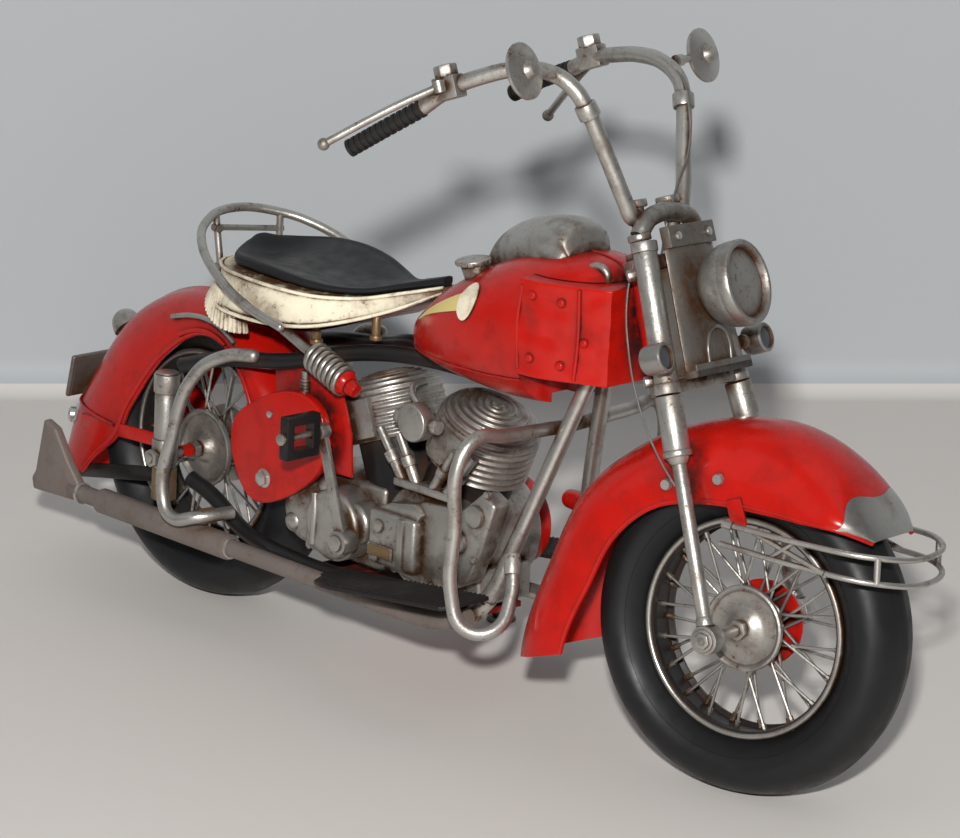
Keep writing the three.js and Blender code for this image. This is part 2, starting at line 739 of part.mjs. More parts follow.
// The black lower rails, tied under the gearbox, with the lug that carries the side stand.
function lowerFrameTubes() {
  const side = [
    v(rearAxle.x + 7, PLUNGER_SPREAD - 5.6, rearAxle.z - 7),
    v(rearAxle.x + 17, RAIL_SPREAD + 1.2, rearAxle.z - 11),
    v(rearAxle.x + 32, RAIL_SPREAD, RAIL_HEIGHT + 3),
    v(rearAxle.x + 48, RAIL_SPREAD, RAIL_HEIGHT),
    v(-20, RAIL_SPREAD, RAIL_HEIGHT),
    v(2, RAIL_SPREAD, RAIL_HEIGHT),
  ];
  const ties = [-50, -4].map((x) => rod(v(x, -RAIL_SPREAD, RAIL_HEIGHT), v(x, RAIL_SPREAD, RAIL_HEIGHT), 2, 8));
  const lug = [
    rod(v(STAND_PIVOT.x, RAIL_SPREAD, STAND_PIVOT.z), standPin(-4.6), 2.2, 8),
    rod(standPin(-6), standPin(-2), 2.2, 8),
  ];
  return joined(tube(side, FRAME_TUBE_RADIUS, 14), tube(mirrored(side), FRAME_TUBE_RADIUS, 14), ...ties, ...lug);
}
piece(bike, "lower_frame_tubes", lowerFrameTubes(), BLACK);

const downtubePath = (side) =>
  [
    v(coverBack + 11, 3.1, coverLow - GAP - 0.8),
    v(42, 11, 78),
    v(36, 16, 57),
    v(31, 19.6, 42),
    v(22, 21.4, 32),
    v(4, 21.8, RAIL_HEIGHT),
  ].map((point) => v(point.x, side * point.y, point.z));
piece(bike, "downtube_right", tube(downtubePath(-1), FRAME_TUBE_RADIUS - 0.1, 14), SILVER);
piece(bike, "downtube_left", tube(downtubePath(1), FRAME_TUBE_RADIUS - 0.1, 14), SILVER);

// Folded sheet round the steering head, open behind, with the head tube through its front.
function neckCover() {
  const outer = box(v(coverBack, -COVER_HALF, coverLow), v(coverFront, COVER_HALF, coverHigh));
  const inside = box(
    v(coverBack - 1, -COVER_HALF + SHEET, coverLow + SHEET),
    v(coverFront - SHEET, COVER_HALF - SHEET, coverHigh - SHEET),
  );
  const head = rod(headLow, headHigh, HEAD_RADIUS, 14);
  const web = box(v(headHigh.x, -1.5, coverLow), v(coverFront - SHEET / 2, 1.5, coverHigh));
  const stemBore = rod(onSteeringAxis(HEAD_LOW - 5), onSteeringAxis(HEAD_HIGH + 5), STEM_RADIUS + GAP, 14);
  return cut(joined(cut(outer, inside), head, web), stemBore);
}
piece(bike, "neck_cover", neckCover(), RED);

// ---- Tank ---------------------------------------------------------------------------------------------
const TANK_TAIL = -24;
const tankNose = coverFront - 6;
// stations along the tank: share of its length, half-width as a share, floor, ceiling
const TANK = [
  [0, 0.1, 111.6, 115.5],
  [0.03, 0.28, 109.5, 118.4],
  [0.1, 0.5, 108, 123.6],
  [0.25, 0.76, 108, 134],
  [0.45, 0.94, 109, 144],
  [0.62, 1, 111, 150],
  [0.8, 0.97, 113, 152.5],
  [0.93, 0.72, 118, 151.5],
  [0.985, 0.4, 126, 148.5],
  [1, 0.15, 133, 144],
];
function tankSkin(raise = 0) {
  const rings = TANK.map(([share, width, floor, ceiling]) =>
    ovalRing(lerp(TANK_TAIL, tankNose, share), width * TANK_HALF_WIDTH, floor, ceiling + raise, 20, 2.5),
  );
  return loft(rings);
}
const coverRoom = box(
  v(coverBack - GAP, -COVER_HALF - GAP - 9, coverLow - 20),
  v(coverFront + 30, COVER_HALF + GAP + 9, coverHigh + GAP),
);
const tubeRoom = box(v(TANK_TAIL - 10, -8.5, 90), v(60, 8.5, TUBE_TOP + FRAME_TUBE_RADIUS + GAP));
piece(bike, "fuel_tank", cut(tankSkin(), coverRoom, tubeRoom), RED);

function dash() {
  const rings = [
    [6, 4, 136, 146],
    [12, 6, 138, 151],
    [26, 9.5, 142, 156],
    [36, 11.5, 144, 160.5],
    [40, 11.5, 146, 160],
    [44, 10, 146, 154.6],
    [46, 9, 146, 152.4],
  ].map(([x, width, floor, ceiling]) => ovalRing(x, width, floor, ceiling, 14, 2.4));
  return cut(loft(rings), tankSkin(GAP));
}
piece(bike, "dash", dash(), SILVER);

function fillerCap() {
  const seat = v(10, -11, 130);
  const top = v(8.6, -12.4, 144.4);
  const axis = top.clone().sub(seat).normalize();
  const throat = rod(seat, top.clone().addScaledVector(axis, -2), 4.2, 14);
  const lid = rod(top.clone().addScaledVector(axis, -2), top, 5.6, 16);
  return cut(joined(throat, lid), tankSkin(GAP), dashRoom);
}
const dashRoom = box(v(0, -7.4, 120), v(60, 10, 165));
piece(bike, "filler_cap", fillerCap(), SILVER);

// ---- Seat ---------------------------------------------------------------------------------------------
// [x, half-width share, pan floor, pan ceiling]
const SEAT = [
  [-110, 0.24, 111.6, 120.6],
  [-106, 0.56, 110.8, 121],
  [-96, 0.86, 110.4, 121.4],
  [-82, 1, 110.8, 121.6],
  [-66, 0.97, 111.2, 121],
  [-53, 0.8, 112.4, 120.4],
  [-40, 0.52, 115.6, 121.4],
  [-28, 0.28, 120, 124.6],
  [-14, 0.09, 126.6, 128.6],
];
function seatPan() {
  return loft(SEAT.map(([x, width, floor, ceiling]) => ovalRing(x, width * SEAT_HALF_WIDTH, floor, ceiling, 16, 3)));
}
piece(bike, "seat_pan", seatPan(), CREAM);

const CUSHION = 3.4; // thickness over the pan
function seatCushion() {
  const rings = SEAT.map(([x, width, , ceiling], i) => {
    const inset = i === SEAT.length - 1 ? 0.6 : 2.2;
    const halfWidth = Math.max(1.2, width * SEAT_HALF_WIDTH - inset);
    return ovalRing(x + (i ? 0 : 2.4), halfWidth, ceiling + GAP, ceiling + GAP + CUSHION, 16, 2.6);
  });
  return loft(rings);
}
piece(bike, "seat_cushion", seatCushion(), BLACK);

// Two posts carry the seat on the frame tubes, and a sprung strut steadies it.
piece(bike, "seat_post_rear", rod(v(-56, -17.2, 103.4), v(-56, -17.2, 112), 1.5, 8), SILVER);
piece(bike, "seat_post_front", rod(v(-37, -9, 107.6), v(-37, -9, 115.6), 1.5, 8), SILVER);

function seatSpring() {
  const top = v(-68, -25.4, 109.6);
  const low = v(-28, -25.4, 95);
  const at = (share) => top.clone().lerp(low, share);
  return joined(rod(top, at(0.98), 1.7, 8), rod(at(0.5), at(0.9), 5.2, 14), rod(at(0.84), at(1.02), 3, 8));
}
piece(bike, "seat_spring", seatSpring(), SILVER);

function grabRail() {
  const half = [
    v(-58, 31.5, 110.5),
    v(-73, 32.6, 114.4),
    v(-89, 31.4, 121),
    v(-103, 26, 127.5),
    v(-113.5, 15.5, 132),
    v(-118.5, 0, 134),
  ];
  const hoop = tube([...mirrored(half), ...half.slice(0, -1).reverse()], 1.5, 24, 6);
  const nearPost = rod(v(-113, -8, 109.5), v(-117.2, -8, 133.4), 1.2, 6);
  const farPost = rod(v(-113.4, 17, 105), v(-112.6, 16.6, 131.6), 1.2, 6);
  const bar = rod(v(-116.4, -9.5, 129), v(-112.7, 18, 126), 1, 6);
  return joined(hoop, nearPost, farPost, bar);
}
piece(bike, "grab_rail", grabRail(), SILVER);

// ---- Rear end -----------------------------------------------------------------------------------------
const fenderPoint = (turn, beyond) => {
  const reach = along(REAR_FENDER.map(([at, high]) => [at, high]), turn) + beyond;
  return v(rearAxle.x + reach * Math.sin(radians(turn)), 0, rearAxle.z + reach * Math.cos(radians(turn)));
};

function tailLamp() {
  const foot = fenderPoint(-62, GAP + 1.4);
  const dome = new THREE.SphereGeometry(4.6, 12, 8).translate(foot.x - 2.4, 0, foot.z + 2.2);
  const ring = rod(foot.clone().add(v(-0.8, 0, 0.8)), foot.clone().add(v(-2.4, 0, 2.4)), 5.2, 12);
  return cut(joined(dome, ring), fender(REAR_FENDER.map(grown), FENDER_HALF_WIDTH, flare).translate(rearAxle.x, 0, rearAxle.z));
}
function grown([turn, high, low]) {
  return [turn, high + GAP, low - SHEET];
}
piece(bike, "tail_lamp", tailLamp(), SILVER);

function numberPlate() {
  const foot = fenderPoint(-84, GAP);
  const wide = 9;
  const tall = 12;
  const sheet = box(v(-0.8, -wide + 0.9, -0.1), v(0.8, wide - 0.9, tall - 0.9));
  const rim = cut(box(v(-2, -wide - 1, -2), v(0.8, wide + 1, tall + 1)), box(v(-3, -wide + 0.6, -0.4), v(-0.4, wide - 0.6, tall - 0.6)));
  const plateSolid = joined(sheet, rim).rotateY(radians(12)).translate(foot.x - 4.5, 0, foot.z - 2);
  const arm = rod(v(foot.x - 0.4, 0, foot.z + 1), v(foot.x - 5, 0, foot.z + 1), 1.6, 8);
  return joined(plateSolid, arm);
}
piece(bike, "number_plate", numberPlate(), GREY);

// Plunger suspension: a capped tube, a step and a thinner foot, holding the axle's end.
function plunger(side) {
  const put = (height) => v(rearAxle.x, side * PLUNGER_SPREAD, height);
  const body = joined(
    rod(put(PLUNGER_LOW + 10), put(PLUNGER_HIGH - 5), PLUNGER_RADIUS - 0.5, 12),
    rod(put(PLUNGER_HIGH - 7), put(PLUNGER_HIGH), PLUNGER_RADIUS, 14),
    rod(put(rearAxle.z - 2), put(rearAxle.z + 6), PLUNGER_RADIUS, 14),
    rod(put(PLUNGER_LOW), put(PLUNGER_LOW + 11), PLUNGER_RADIUS - 0.2, 12),
  );
  const reach = PLUNGER_RADIUS * 3;
  return cut(body, rod(put(rearAxle.z).add(v(0, -reach, 0)), put(rearAxle.z).add(v(0, reach, 0)), bore, 12));
}
piece(bike, "plunger_right", plunger(-1), SILVER);
piece(bike, "plunger_left", plunger(1), SILVER);

function rearAxleBar() {
  const end = PLUNGER_SPREAD + PLUNGER_RADIUS + 3;
  const nutAt = (from, to) => rod(v(rearAxle.x, from, rearAxle.z), v(rearAxle.x, to, rearAxle.z), 3.2, 6);
  const inner = DISC_BACK + 0.9 + CONE + GAP;
  const outer = PLUNGER_SPREAD + PLUNGER_RADIUS + GAP;
  return joined(
    rod(v(rearAxle.x, -end, rearAxle.z), v(rearAxle.x, end, rearAxle.z), AXLE_RADIUS, 12),
    nutAt(-inner - 2.6, -inner),
    nutAt(inner, inner + 2.6),
    nutAt(-outer - 2, -outer),
    nutAt(outer, outer + 2),
  );
}
piece(bike, "rear_axle", rearAxleBar(), SILVER);

// The bent guard tube outside each plunger, from the upper frame tube down to a bracket over the rail.
function rearBar(side) {
  const path = [
    v(rearAxle.x + 47, 28.4, rearAxle.z + 45.4),
    v(rearAxle.x + 37, 31, rearAxle.z + 43.5),
    v(rearAxle.x + 27, 35, rearAxle.z + 36),
    v(rearAxle.x + 18, 37, rearAxle.z + 12),
    v(rearAxle.x + 14.5, 37, rearAxle.z - 8),
    v(rearAxle.x + 19, 37, rearAxle.z - 14.4),
    v(rearAxle.x + 28, 34, rearAxle.z - 13),
    v(rearAxle.x + 33, 22, rearAxle.z - 12),
  ];
  return tube(path.map((point) => v(point.x, side * point.y, point.z)), CRASH_TUBE_RADIUS, 18);
}
piece(bike, "rear_bar_right", rearBar(-1), SILVER);
piece(bike, "rear_bar_left", rearBar(1), SILVER);

// ---- Engine -------------------------------------------------------------------------------------------
const CRANK = v(-2, 0, 51);
const CASE_FLOOR = RAIL_HEIGHT + FRAME_TUBE_RADIUS + GAP;
function crankcase() {
  const drum = rod(v(CRANK.x, -ENGINE_HALF_WIDTH, CRANK.z), v(CRANK.x, ENGINE_HALF_WIDTH, CRANK.z), 18, 20);
  const timing = plate(
    [
      [-16, 48],
      [-12, 40],
      [12, 38],
      [24, 44],
      [30, 57],
      [35, 72],
      [29, 75],
      [20, 67],
      [4, 66],
      [-12, 60],
    ],
    -ENGINE_HALF_WIDTH - 6,
    -ENGINE_HALF_WIDTH + 2,
  );
  const boxCover = box(v(-17, -ENGINE_HALF_WIDTH - 10, 42), v(4, -ENGINE_HALF_WIDTH - 4, 60));
  const plugs = [v(20, 0, 57), v(27, 0, 67)].map((at) =>
    rod(v(at.x, -ENGINE_HALF_WIDTH - 8, at.z), v(at.x, -ENGINE_HALF_WIDTH - 4, at.z), 3.6, 12),
  );
  const sump = box(v(-14, -12, CASE_FLOOR), v(18, 12, 44));
  return joined(drum, timing, boxCover, sump, ...plugs);
}
piece(bike, "crankcase", crankcase(), SILVER);

// A finned barrel and head leaning along the bike by the V angle, with its black lower barrel.
const CYLINDER_SPACING = 22;
const GEARBOX_TOP = 62;
function cylinder(leaning) {
  const fins = 5;
  const pitch = 5;
  const finLow = 24;
  const profile = [
    [0, 0],
    [CYLINDER_RADIUS - 3, 0],
    [CYLINDER_RADIUS - 3, finLow],
  ];
  for (let fin = 0; fin < fins; fin++) {
    const foot = finLow + fin * pitch;
    profile.push([CYLINDER_RADIUS, foot], [CYLINDER_RADIUS, foot + 3], [CYLINDER_RADIUS - 1.6, foot + 3]);
    profile.push([CYLINDER_RADIUS - 1.6, foot + pitch]);
  }
  const top = finLow + fins * pitch;
  profile.push([CYLINDER_RADIUS - 3, top + 3], [0, top + 4]);
  return turned(profile, 14)
    .rotateX(Math.PI / 2)
    .rotateY(leaning * radians(V_ANGLE))
    .translate(CRANK.x - 13 + leaning * (CYLINDER_SPACING / 2 - 4), 0, CRANK.z - 2);
}
function cylinderPiece(leaning) {
  const other = box(v(-14 - 100 * (leaning > 0 ? 1 : 0), -60, 0), v(-14 + 100 * (leaning > 0 ? 0 : 1), 60, 200))
    .translate(leaning > 0 ? GAP / 2 : -GAP / 2, 0, 0);
  const drumRoom = rod(
    v(CRANK.x, -ENGINE_HALF_WIDTH - GAP, CRANK.z),
    v(CRANK.x, ENGINE_HALF_WIDTH + GAP, CRANK.z),
    18 + GAP,
    20,
  );
  const belowRoom = box(v(-200, -60, 0), v(200, 60, GEARBOX_TOP + GAP));
  const aboveRoom = box(v(-200, -60, TUBE_TOP - FRAME_TUBE_RADIUS - GAP), v(200, 60, 200));
  return cut(cylinder(leaning), other, drumRoom, belowRoom, aboveRoom);
}
piece(bike, "cylinder_rear", cylinderPiece(-1), SILVER);
piece(bike, "cylinder_front", cylinderPiece(1), SILVER);

// Four pushrod tubes rising from one tappet block on the timing cover.
function pushrodTubes() {
  const side = -(ENGINE_HALF_WIDTH + 2.6);
  const feet = [-9, -3, 4, 10];
  const heads = [-21, -12, 13, 22];
  const block = box(v(feet[0] - 3, side - 2.2, 67 + GAP * 2), v(feet[3] + 3, side + 2.2, 70.4));
  const tubes = feet.flatMap((x, i) => {
    const foot = v(x, side, 69);
    const head = v(heads[i], side, 84);
    const at = (share) => foot.clone().lerp(head, share);
    return [rod(foot, head, 1.3, 8), rod(at(0.02), at(0.42), 1.8, 8), rod(at(0.4), at(0.56), 2.3, 8)];
  });
  return joined(block, ...tubes);
}
piece(bike, "pushrod_tubes", pushrodTubes(), SILVER);

function airCleaner() {
  const at = v(-1, -ENGINE_HALF_WIDTH - 4, 91);
  const drum = rod(v(at.x, at.y, at.z), v(at.x, at.y - 5, at.z), 6.2, 18);
  const stubs = rod(v(at.x - 9, at.y - 1.5, at.z), v(at.x + 9, at.y - 1.5, at.z), 1.8, 8);
  return joined(drum, stubs);
}
piece(bike, "air_cleaner", airCleaner(), SILVER);

// The lumpy gearbox behind the crankcase, joined from a few rounded castings.
const GEARBOX_FRONT = -23;
function gearbox() {
  const side = -ENGINE_HALF_WIDTH - 5;
  const lump = (x, z, radius, low, high) => rod(v(x, low, z), v(x, high, z), radius, 12);
  return joined(
    box(v(-58, -15, 34), v(GEARBOX_FRONT, 15, GEARBOX_TOP)),
    lump(-52, 49, 10.5, side, 12),
    lump(-38, 48, 12, side - 2, 10),
    lump(-30, 50, 7, side, 10),
  );
}
piece(bike, "gearbox", gearbox(), SILVER);

function sideCover() {
  const outline = [
    [-82, 76],
    [-85, 65],
    [-80, 53],
    [-72, 48],
    [-60, 51.5],
    [-46, 61],
    [-40, 71],
    [-42, 84],
    [-52, 89],
    [-66, 86],
  ];
  const plateFace = plate(outline, -27, -23.4);
  const bolt = rod(v(-68, -28.6, 57), v(-68, -26, 57), 2.6, 6);
  return joined(plateFace, bolt);
}
piece(bike, "side_cover", sideCover(), RED);

// The kick starter: an arm on the gearbox shaft, with a framed pedal that turns on the arm's pin.
const KICK_SHAFT = v(-27, -29.5, 46);
const KICK_TOP = v(-36, -31.5, 81);
const PEDAL_REACH = 17;
function kickArm() {
  const boss = rod(KICK_SHAFT.clone().add(v(0, -2.6, 0)), KICK_SHAFT.clone().add(v(0, 3.4, 0)), 4, 14);
  const arm = rod(KICK_SHAFT, KICK_TOP, 2.1, 4, 1.7);
  const eye = rod(KICK_TOP.clone().add(v(0, 1.6, 0)), KICK_TOP.clone().add(v(0, -2.4, 0)), 2.6, 10);
  const pin = rod(KICK_TOP, KICK_TOP.clone().add(v(0, -PEDAL_REACH, 0)), 1.1, 8);
  const stop = rod(
    KICK_TOP.clone().add(v(0, -PEDAL_REACH, 0)),
    KICK_TOP.clone().add(v(0, -PEDAL_REACH - 1.4, 0)),
    1.9,
    8,
  );
  return joined(boss, arm, eye, pin, stop);
}
piece(bike, "kick_arm", kickArm(), SILVER);

function kickPedal() {
  const low = v(KICK_TOP.x - 1.9, KICK_TOP.y - PEDAL_REACH + GAP, KICK_TOP.z - 7);
  const high = v(KICK_TOP.x + 1.9, KICK_TOP.y - 2.4 - GAP, KICK_TOP.z + 7);
  const wall = 3;
  const window = box(
    v(low.x - 1, low.y + wall, low.z + wall),
    v(high.x + 1, high.y - wall, high.z - wall),
  );
  const pinHole = rod(v(KICK_TOP.x, low.y - 1, KICK_TOP.z), v(KICK_TOP.x, high.y + 1, KICK_TOP.z), 1.1 + GAP, 8);
  return cut(box(low, high), window, pinHole);
}
piece(bike, "kick_pedal", kickPedal(), BLACK);

// Left side: the primary chain case and the horn.
function primaryCase() {
  const low = ENGINE_HALF_WIDTH + GAP;
  const high = low + 7;
  return joined(
    rod(v(-44, low, 48), v(-44, high, 48), 13, 18),
    rod(v(CRANK.x, low, CRANK.z), v(CRANK.x, high, CRANK.z), 15, 18),
    plate([[-44, 35.4], [-2, 36.4], [-2, 65.6], [-44, 60.6]], low, high),
  );
}
piece(bike, "primary_case", primaryCase(), RED);

function horn() {
  const bell = facingAhead(
    turned(
      [
        [0, 0],
        [3, 0],
        [3.4, 5],
        [5, 10],
        [8.6, 15],
        [7.6, 15],
        [4, 10],
        [0, 8],
      ],
      16,
    ),
  );
  return bell.translate(17, ENGINE_HALF_WIDTH + 9, 62);
}
piece(bike, "horn", horn(), RED);

// The front crash bar: a cross tube behind the downtubes and a loop down each side.
const CRASH_SPREAD = 45;
function crashBar() {
  const ahead = 42;
  const loop = [
    v(ahead, 0, 96),
    v(ahead, 30, 97.4),
    v(ahead - 1, CRASH_SPREAD - 6, 98),
    v(ahead - 2, CRASH_SPREAD, 92),
    v(ahead - 3, CRASH_SPREAD, 70),
    v(ahead - 3, CRASH_SPREAD, 48),
    v(ahead + 1, CRASH_SPREAD - 2, 38.4),
    v(ahead + 7, CRASH_SPREAD - 9, 38),
    v(ahead + 6, CRASH_SPREAD - 17, 47),
    v(ahead + 1.4, CRASH_SPREAD - 21.4, 58),
  ];
  return joined(tube(loop, CRASH_TUBE_RADIUS, 20), tube(mirrored(loop), CRASH_TUBE_RADIUS, 20));
}
piece(bike, "crash_bar", crashBar(), SILVER);

function footboard(side) {
  const outline = [
    [-30, -9],
    [-24, 8],
    [-14, 11],
    [36, 11],
    [38, -9],
  ];
  const shape = new THREE.Shape(outline.map(([x, y]) => new THREE.Vector2(x, side * y)));
  return new THREE.ExtrudeGeometry(shape, { depth: 1.8, bevelEnabled: false })
    .rotateY(radians(-7))
    .translate(0, side * FOOTBOARD_SPREAD, 38.4);
}
piece(bike, "footboard_right", footboard(-1), RUBBER);
piece(bike, "footboard_left", footboard(1), RUBBER);

// One pipe from under the engine to the muffler, a tail pipe and a flat fishtail.
function exhaust() {
  const side = -EXHAUST_SIDE;
  const height = 30.4;
  const muffler = [rearAxle.x - 26, rearAxle.x + 40];
  const tail = rearAxle.x - 40;
  const fish = plate(
    [
      [tail + 2, height - 3],
      [tail + 3, height + 3.4],
      [tail - 3, height + 10],
      [tail - 10, height + 20],
      [tail - 16, height + 22],
      [tail - 20, height + 3],
      [tail - 22, height],
      [tail - 21, height - 4],
    ],
    side - 1.8,
    side + 1.8,
  );
  return joined(
    tube([v(30, side + 1, height + 5), v(16, side, height + 1), v(0, side, height), v(-80, side, height)], PIPE_RADIUS, 12, 10),
    rod(v(-79, side, height), v(tail, side, height), PIPE_RADIUS, 10),
    rod(v(muffler[0], side, height), v(muffler[1], side, height), MUFFLER_RADIUS, 14),
    fish,
  );
}
piece(bike, "exhaust", exhaust(), DULL);

// The side stand: a leg on the frame's lug, down to a small flat foot on the ground.
const onGround = (x, y) => v(x, y, y * Math.tan(radians(LEAN)));
function sideStand() {
  const foot = onGround(STAND_PIVOT.x + 6, STAND_SPREAD);
  const pad = new THREE.CylinderGeometry(4.4, 5, 1.6, 12)
    .rotateX(Math.PI / 2)
    .translate(0, 0, 0.8)
    .rotateX(radians(LEAN))
    .translate(foot.x, foot.y, foot.z);
  const eye = rod(standPin(-2 + GAP), standPin(2), 3, 12);
  const leg = rod(STAND_PIVOT, foot.clone().add(v(0, 0, 1.55)), 1.9, 8);
  return joined(eye, leg, pad);
}
piece(bike, "side_stand", sideStand(), SILVER);

// ---- The part's frame: the middle of its box's bottom -------------------------------------------------
motorcycle.updateMatrixWorld(true);
const bounds = new THREE.Box3().setFromObject(motorcycle, true);
const centre = bounds.getCenter(v(0, 0, 0));
motorcycle.position.set(-centre.x, -centre.y, -bounds.min.z);

export default motorcycle;
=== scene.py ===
"""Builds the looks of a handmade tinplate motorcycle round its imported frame.

Sizes are in millimetres in the bike's own upright frame, or in the steering's frame, and each piece is
moved to its place at the end. The bike's frame has its origin on the ground midway between the axles.
"""

import json
import math

import bmesh
import bpy
from bpy.props import FloatProperty, FloatVectorProperty, IntProperty, PointerProperty
from mathutils import Matrix, Vector, noise


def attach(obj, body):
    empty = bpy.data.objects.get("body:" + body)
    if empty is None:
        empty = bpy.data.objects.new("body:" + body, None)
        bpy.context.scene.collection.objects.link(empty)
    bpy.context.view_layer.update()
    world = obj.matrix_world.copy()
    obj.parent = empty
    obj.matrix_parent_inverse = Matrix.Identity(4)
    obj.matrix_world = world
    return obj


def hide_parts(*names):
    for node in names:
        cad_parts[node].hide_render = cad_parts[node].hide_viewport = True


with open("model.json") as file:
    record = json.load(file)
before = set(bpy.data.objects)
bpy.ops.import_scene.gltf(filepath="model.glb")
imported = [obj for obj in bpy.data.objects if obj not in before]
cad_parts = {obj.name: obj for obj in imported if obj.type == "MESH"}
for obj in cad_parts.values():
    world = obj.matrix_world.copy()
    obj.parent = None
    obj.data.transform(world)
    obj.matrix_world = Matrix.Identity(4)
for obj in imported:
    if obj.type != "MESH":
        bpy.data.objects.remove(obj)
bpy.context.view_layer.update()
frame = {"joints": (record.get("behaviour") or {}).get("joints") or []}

bl_info = {
    "name": "Tinplate Motorcycle",
    "version": (1, 0, 0),
    "blender": (4, 5, 0),
    "location": "View3D > Sidebar > Motorcycle",
    "description": "Builds a weathered tinplate touring motorcycle",
    "category": "Object",
}

MM = 0.001
SHARP = 34
SIDES = ((-1, "right"), (1, "left"))
V = Vector

# ---- Driving sizes -----------------------------------------------------------------------------------
WHEELBASE = 241.6
AXLE_HIGH = 51.67
TYRE_HALF = 12.2
RIM_RADIUS = 33.6
RIM_HALF = 6.2
HUB_HALF = 5.0
FLANGE_RADIUS = 8.0
DISC_RADIUS = 13.2
DISC_BACK = HUB_HALF + 0.3
RAKE = math.radians(21.5)
FORK_OFFSET = 12.0
LEG_SPREAD, LEG_TAPER = 27.9, 0.1
LOWER_YOKE, UPPER_YOKE, COVER_TOP = 75.0, 112.6, 119.0
REAR_X = -WHEELBASE / 2
FENDER_HALF = 20.0
SHEET = 0.8
GAP = 0.3
FOOT_X = WHEELBASE / 2 - FORK_OFFSET * math.cos(RAKE)
FOOT_Z = AXLE_HIGH - FORK_OFFSET * math.sin(RAKE)


def on_steering_axis(height):
    return V((FOOT_X - height * math.sin(RAKE), 0, FOOT_Z + height * math.cos(RAKE)))


# The sheet box round the steering head
COVER_FRONT = on_steering_axis(93.8).x - 5
COVER_BACK = COVER_FRONT - 28
COVER_LOW = on_steering_axis(77.6).z - 3
COVER_HIGH = on_steering_axis(110).z - 3
COVER_HALF = 17.0
TUBE_TOP = 104.8
RAIL_HIGH, RAIL_SPREAD = 29.0, 16.0
FRAME_TUBE, GUARD_TUBE, HOOP_RADIUS = 2.7, 2.2, 1.5
CRANK = V((-2, 0, 51))
STAND_TILT = math.radians(45.4)
STAND_PIVOT = V((-38, 23.7, 28))
ENGINE_HALF = 18.0


# ---- Frames: a joint's place and axis give each body's own coordinates -------------------------------
def joint(name):
    found = next(j for j in frame["joints"] if j["name"] == name)
    return V(found["pos_m"]), V(found["axis"]).normalized()


def local_frame(origin, side, up):
    """Millimetres with Y along side and Z near up, to the row frame in metres."""
    ahead = side.cross(up).normalized()
    high = ahead.cross(side).normalized()
    turn = Matrix((ahead, side, high)).transposed().to_4x4()
    return Matrix.Translation(origin) @ turn @ Matrix.Scale(MM, 4)


rear_place, rear_side = joint("rear_wheel_spin")
front_place, front_side = joint("front_wheel_spin")
steer_place, steer_axis = joint("steering_turn")
REAR_WHEEL = local_frame(rear_place, rear_side, V((1, 0, 0)).cross(rear_side))
FRONT_WHEEL = local_frame(front_place, front_side, V((1, 0, 0)).cross(front_side))
BIKE = REAR_WHEEL @ Matrix.Translation((-REAR_X, 0, -AXLE_HIGH))
STEERING = local_frame(steer_place - steer_axis * 60 * MM, front_side, steer_axis)


# ---- Settings ----------------------------------------------------------------------------------------
class MotorcycleSizes(bpy.types.PropertyGroup):
    spokes_per_side: IntProperty(name="Spokes per side", description="Spokes on each side of a wheel",
        default=20, min=8)
    spoke_radius: FloatProperty(name="Spoke radius", description="Half the thickness of a spoke, in mm",
        default=0.5)
    fin_pitch: FloatProperty(name="Fin pitch",
        description="Height of one cooling rib and its groove, in mm", default=2.3)
    spring_turns: IntProperty(name="Spring turns", description="Turns of the seat spring", default=7)
    fringe_strips: IntProperty(name="Fringe strips",
        description="Pleats in the skirt at the back of the seat", default=46)


def colour(name, description, value):
    return FloatVectorProperty(name=name, description=description, subtype="COLOR", size=4, min=0, max=1,
        default=(*value, 1))


class MotorcycleColours(bpy.types.PropertyGroup):
    red: colour("Red paint", "Gloss red of the tank and fenders", (0.47, 0.008, 0.004))
    silver: colour("Silver paint", "Worn silver of the tubes and castings", (0.50, 0.485, 0.455))
    black: colour("Black paint", "Gloss black of the seat top and frame", (0.012, 0.012, 0.013))
    cream: colour("Cream paint", "Aged cream of the seat's skirt", (0.92, 0.84, 0.65))
    grey: colour("Grey metal", "Dull grey of the nacelle and plate", (0.18, 0.165, 0.15))
    pewter: colour("Pewter", "Greyed silver of the lamps", (0.34, 0.33, 0.31))
    dull: colour("Dull metal", "Brownish grey of the exhaust", (0.20, 0.165, 0.148))
    # Brown of real corrosion at joints and edges, also used as the painted shade in recesses
    rust_and_shade: colour("Rust and shade", "Brown stain at joints and edges", (0.10, 0.043, 0.016))


# ---- Shapes ------------------------------------------------------------------------------------------
def rod(bm, start, end, radius, end_radius=None, sides=28):
    start, end = V(start), V(end)
    span = end - start
    turn = span.to_track_quat("Z", "Y").to_matrix().to_4x4()
    bmesh.ops.create_cone(
        bm,
        cap_ends=True,
        segments=sides,
        radius1=radius,
        radius2=radius if end_radius is None else end_radius,
        depth=span.length,
        matrix=Matrix.Translation((start + end) / 2) @ turn,
    )


def ball(bm, centre, radius, squash=(1, 1, 1)):
    size = Matrix.Diagonal((*squash, 1))
    bmesh.ops.create_uvsphere(bm, u_segments=24, v_segments=14, radius=radius,
        matrix=Matrix.Translation(centre) @ size)


def box(bm, low, high):
    low, high = V(low), V(high)
    size = Matrix.Diagonal((*(high - low), 1))
    bmesh.ops.create_cube(bm, size=1, matrix=Matrix.Translation((low + high) / 2) @ size)


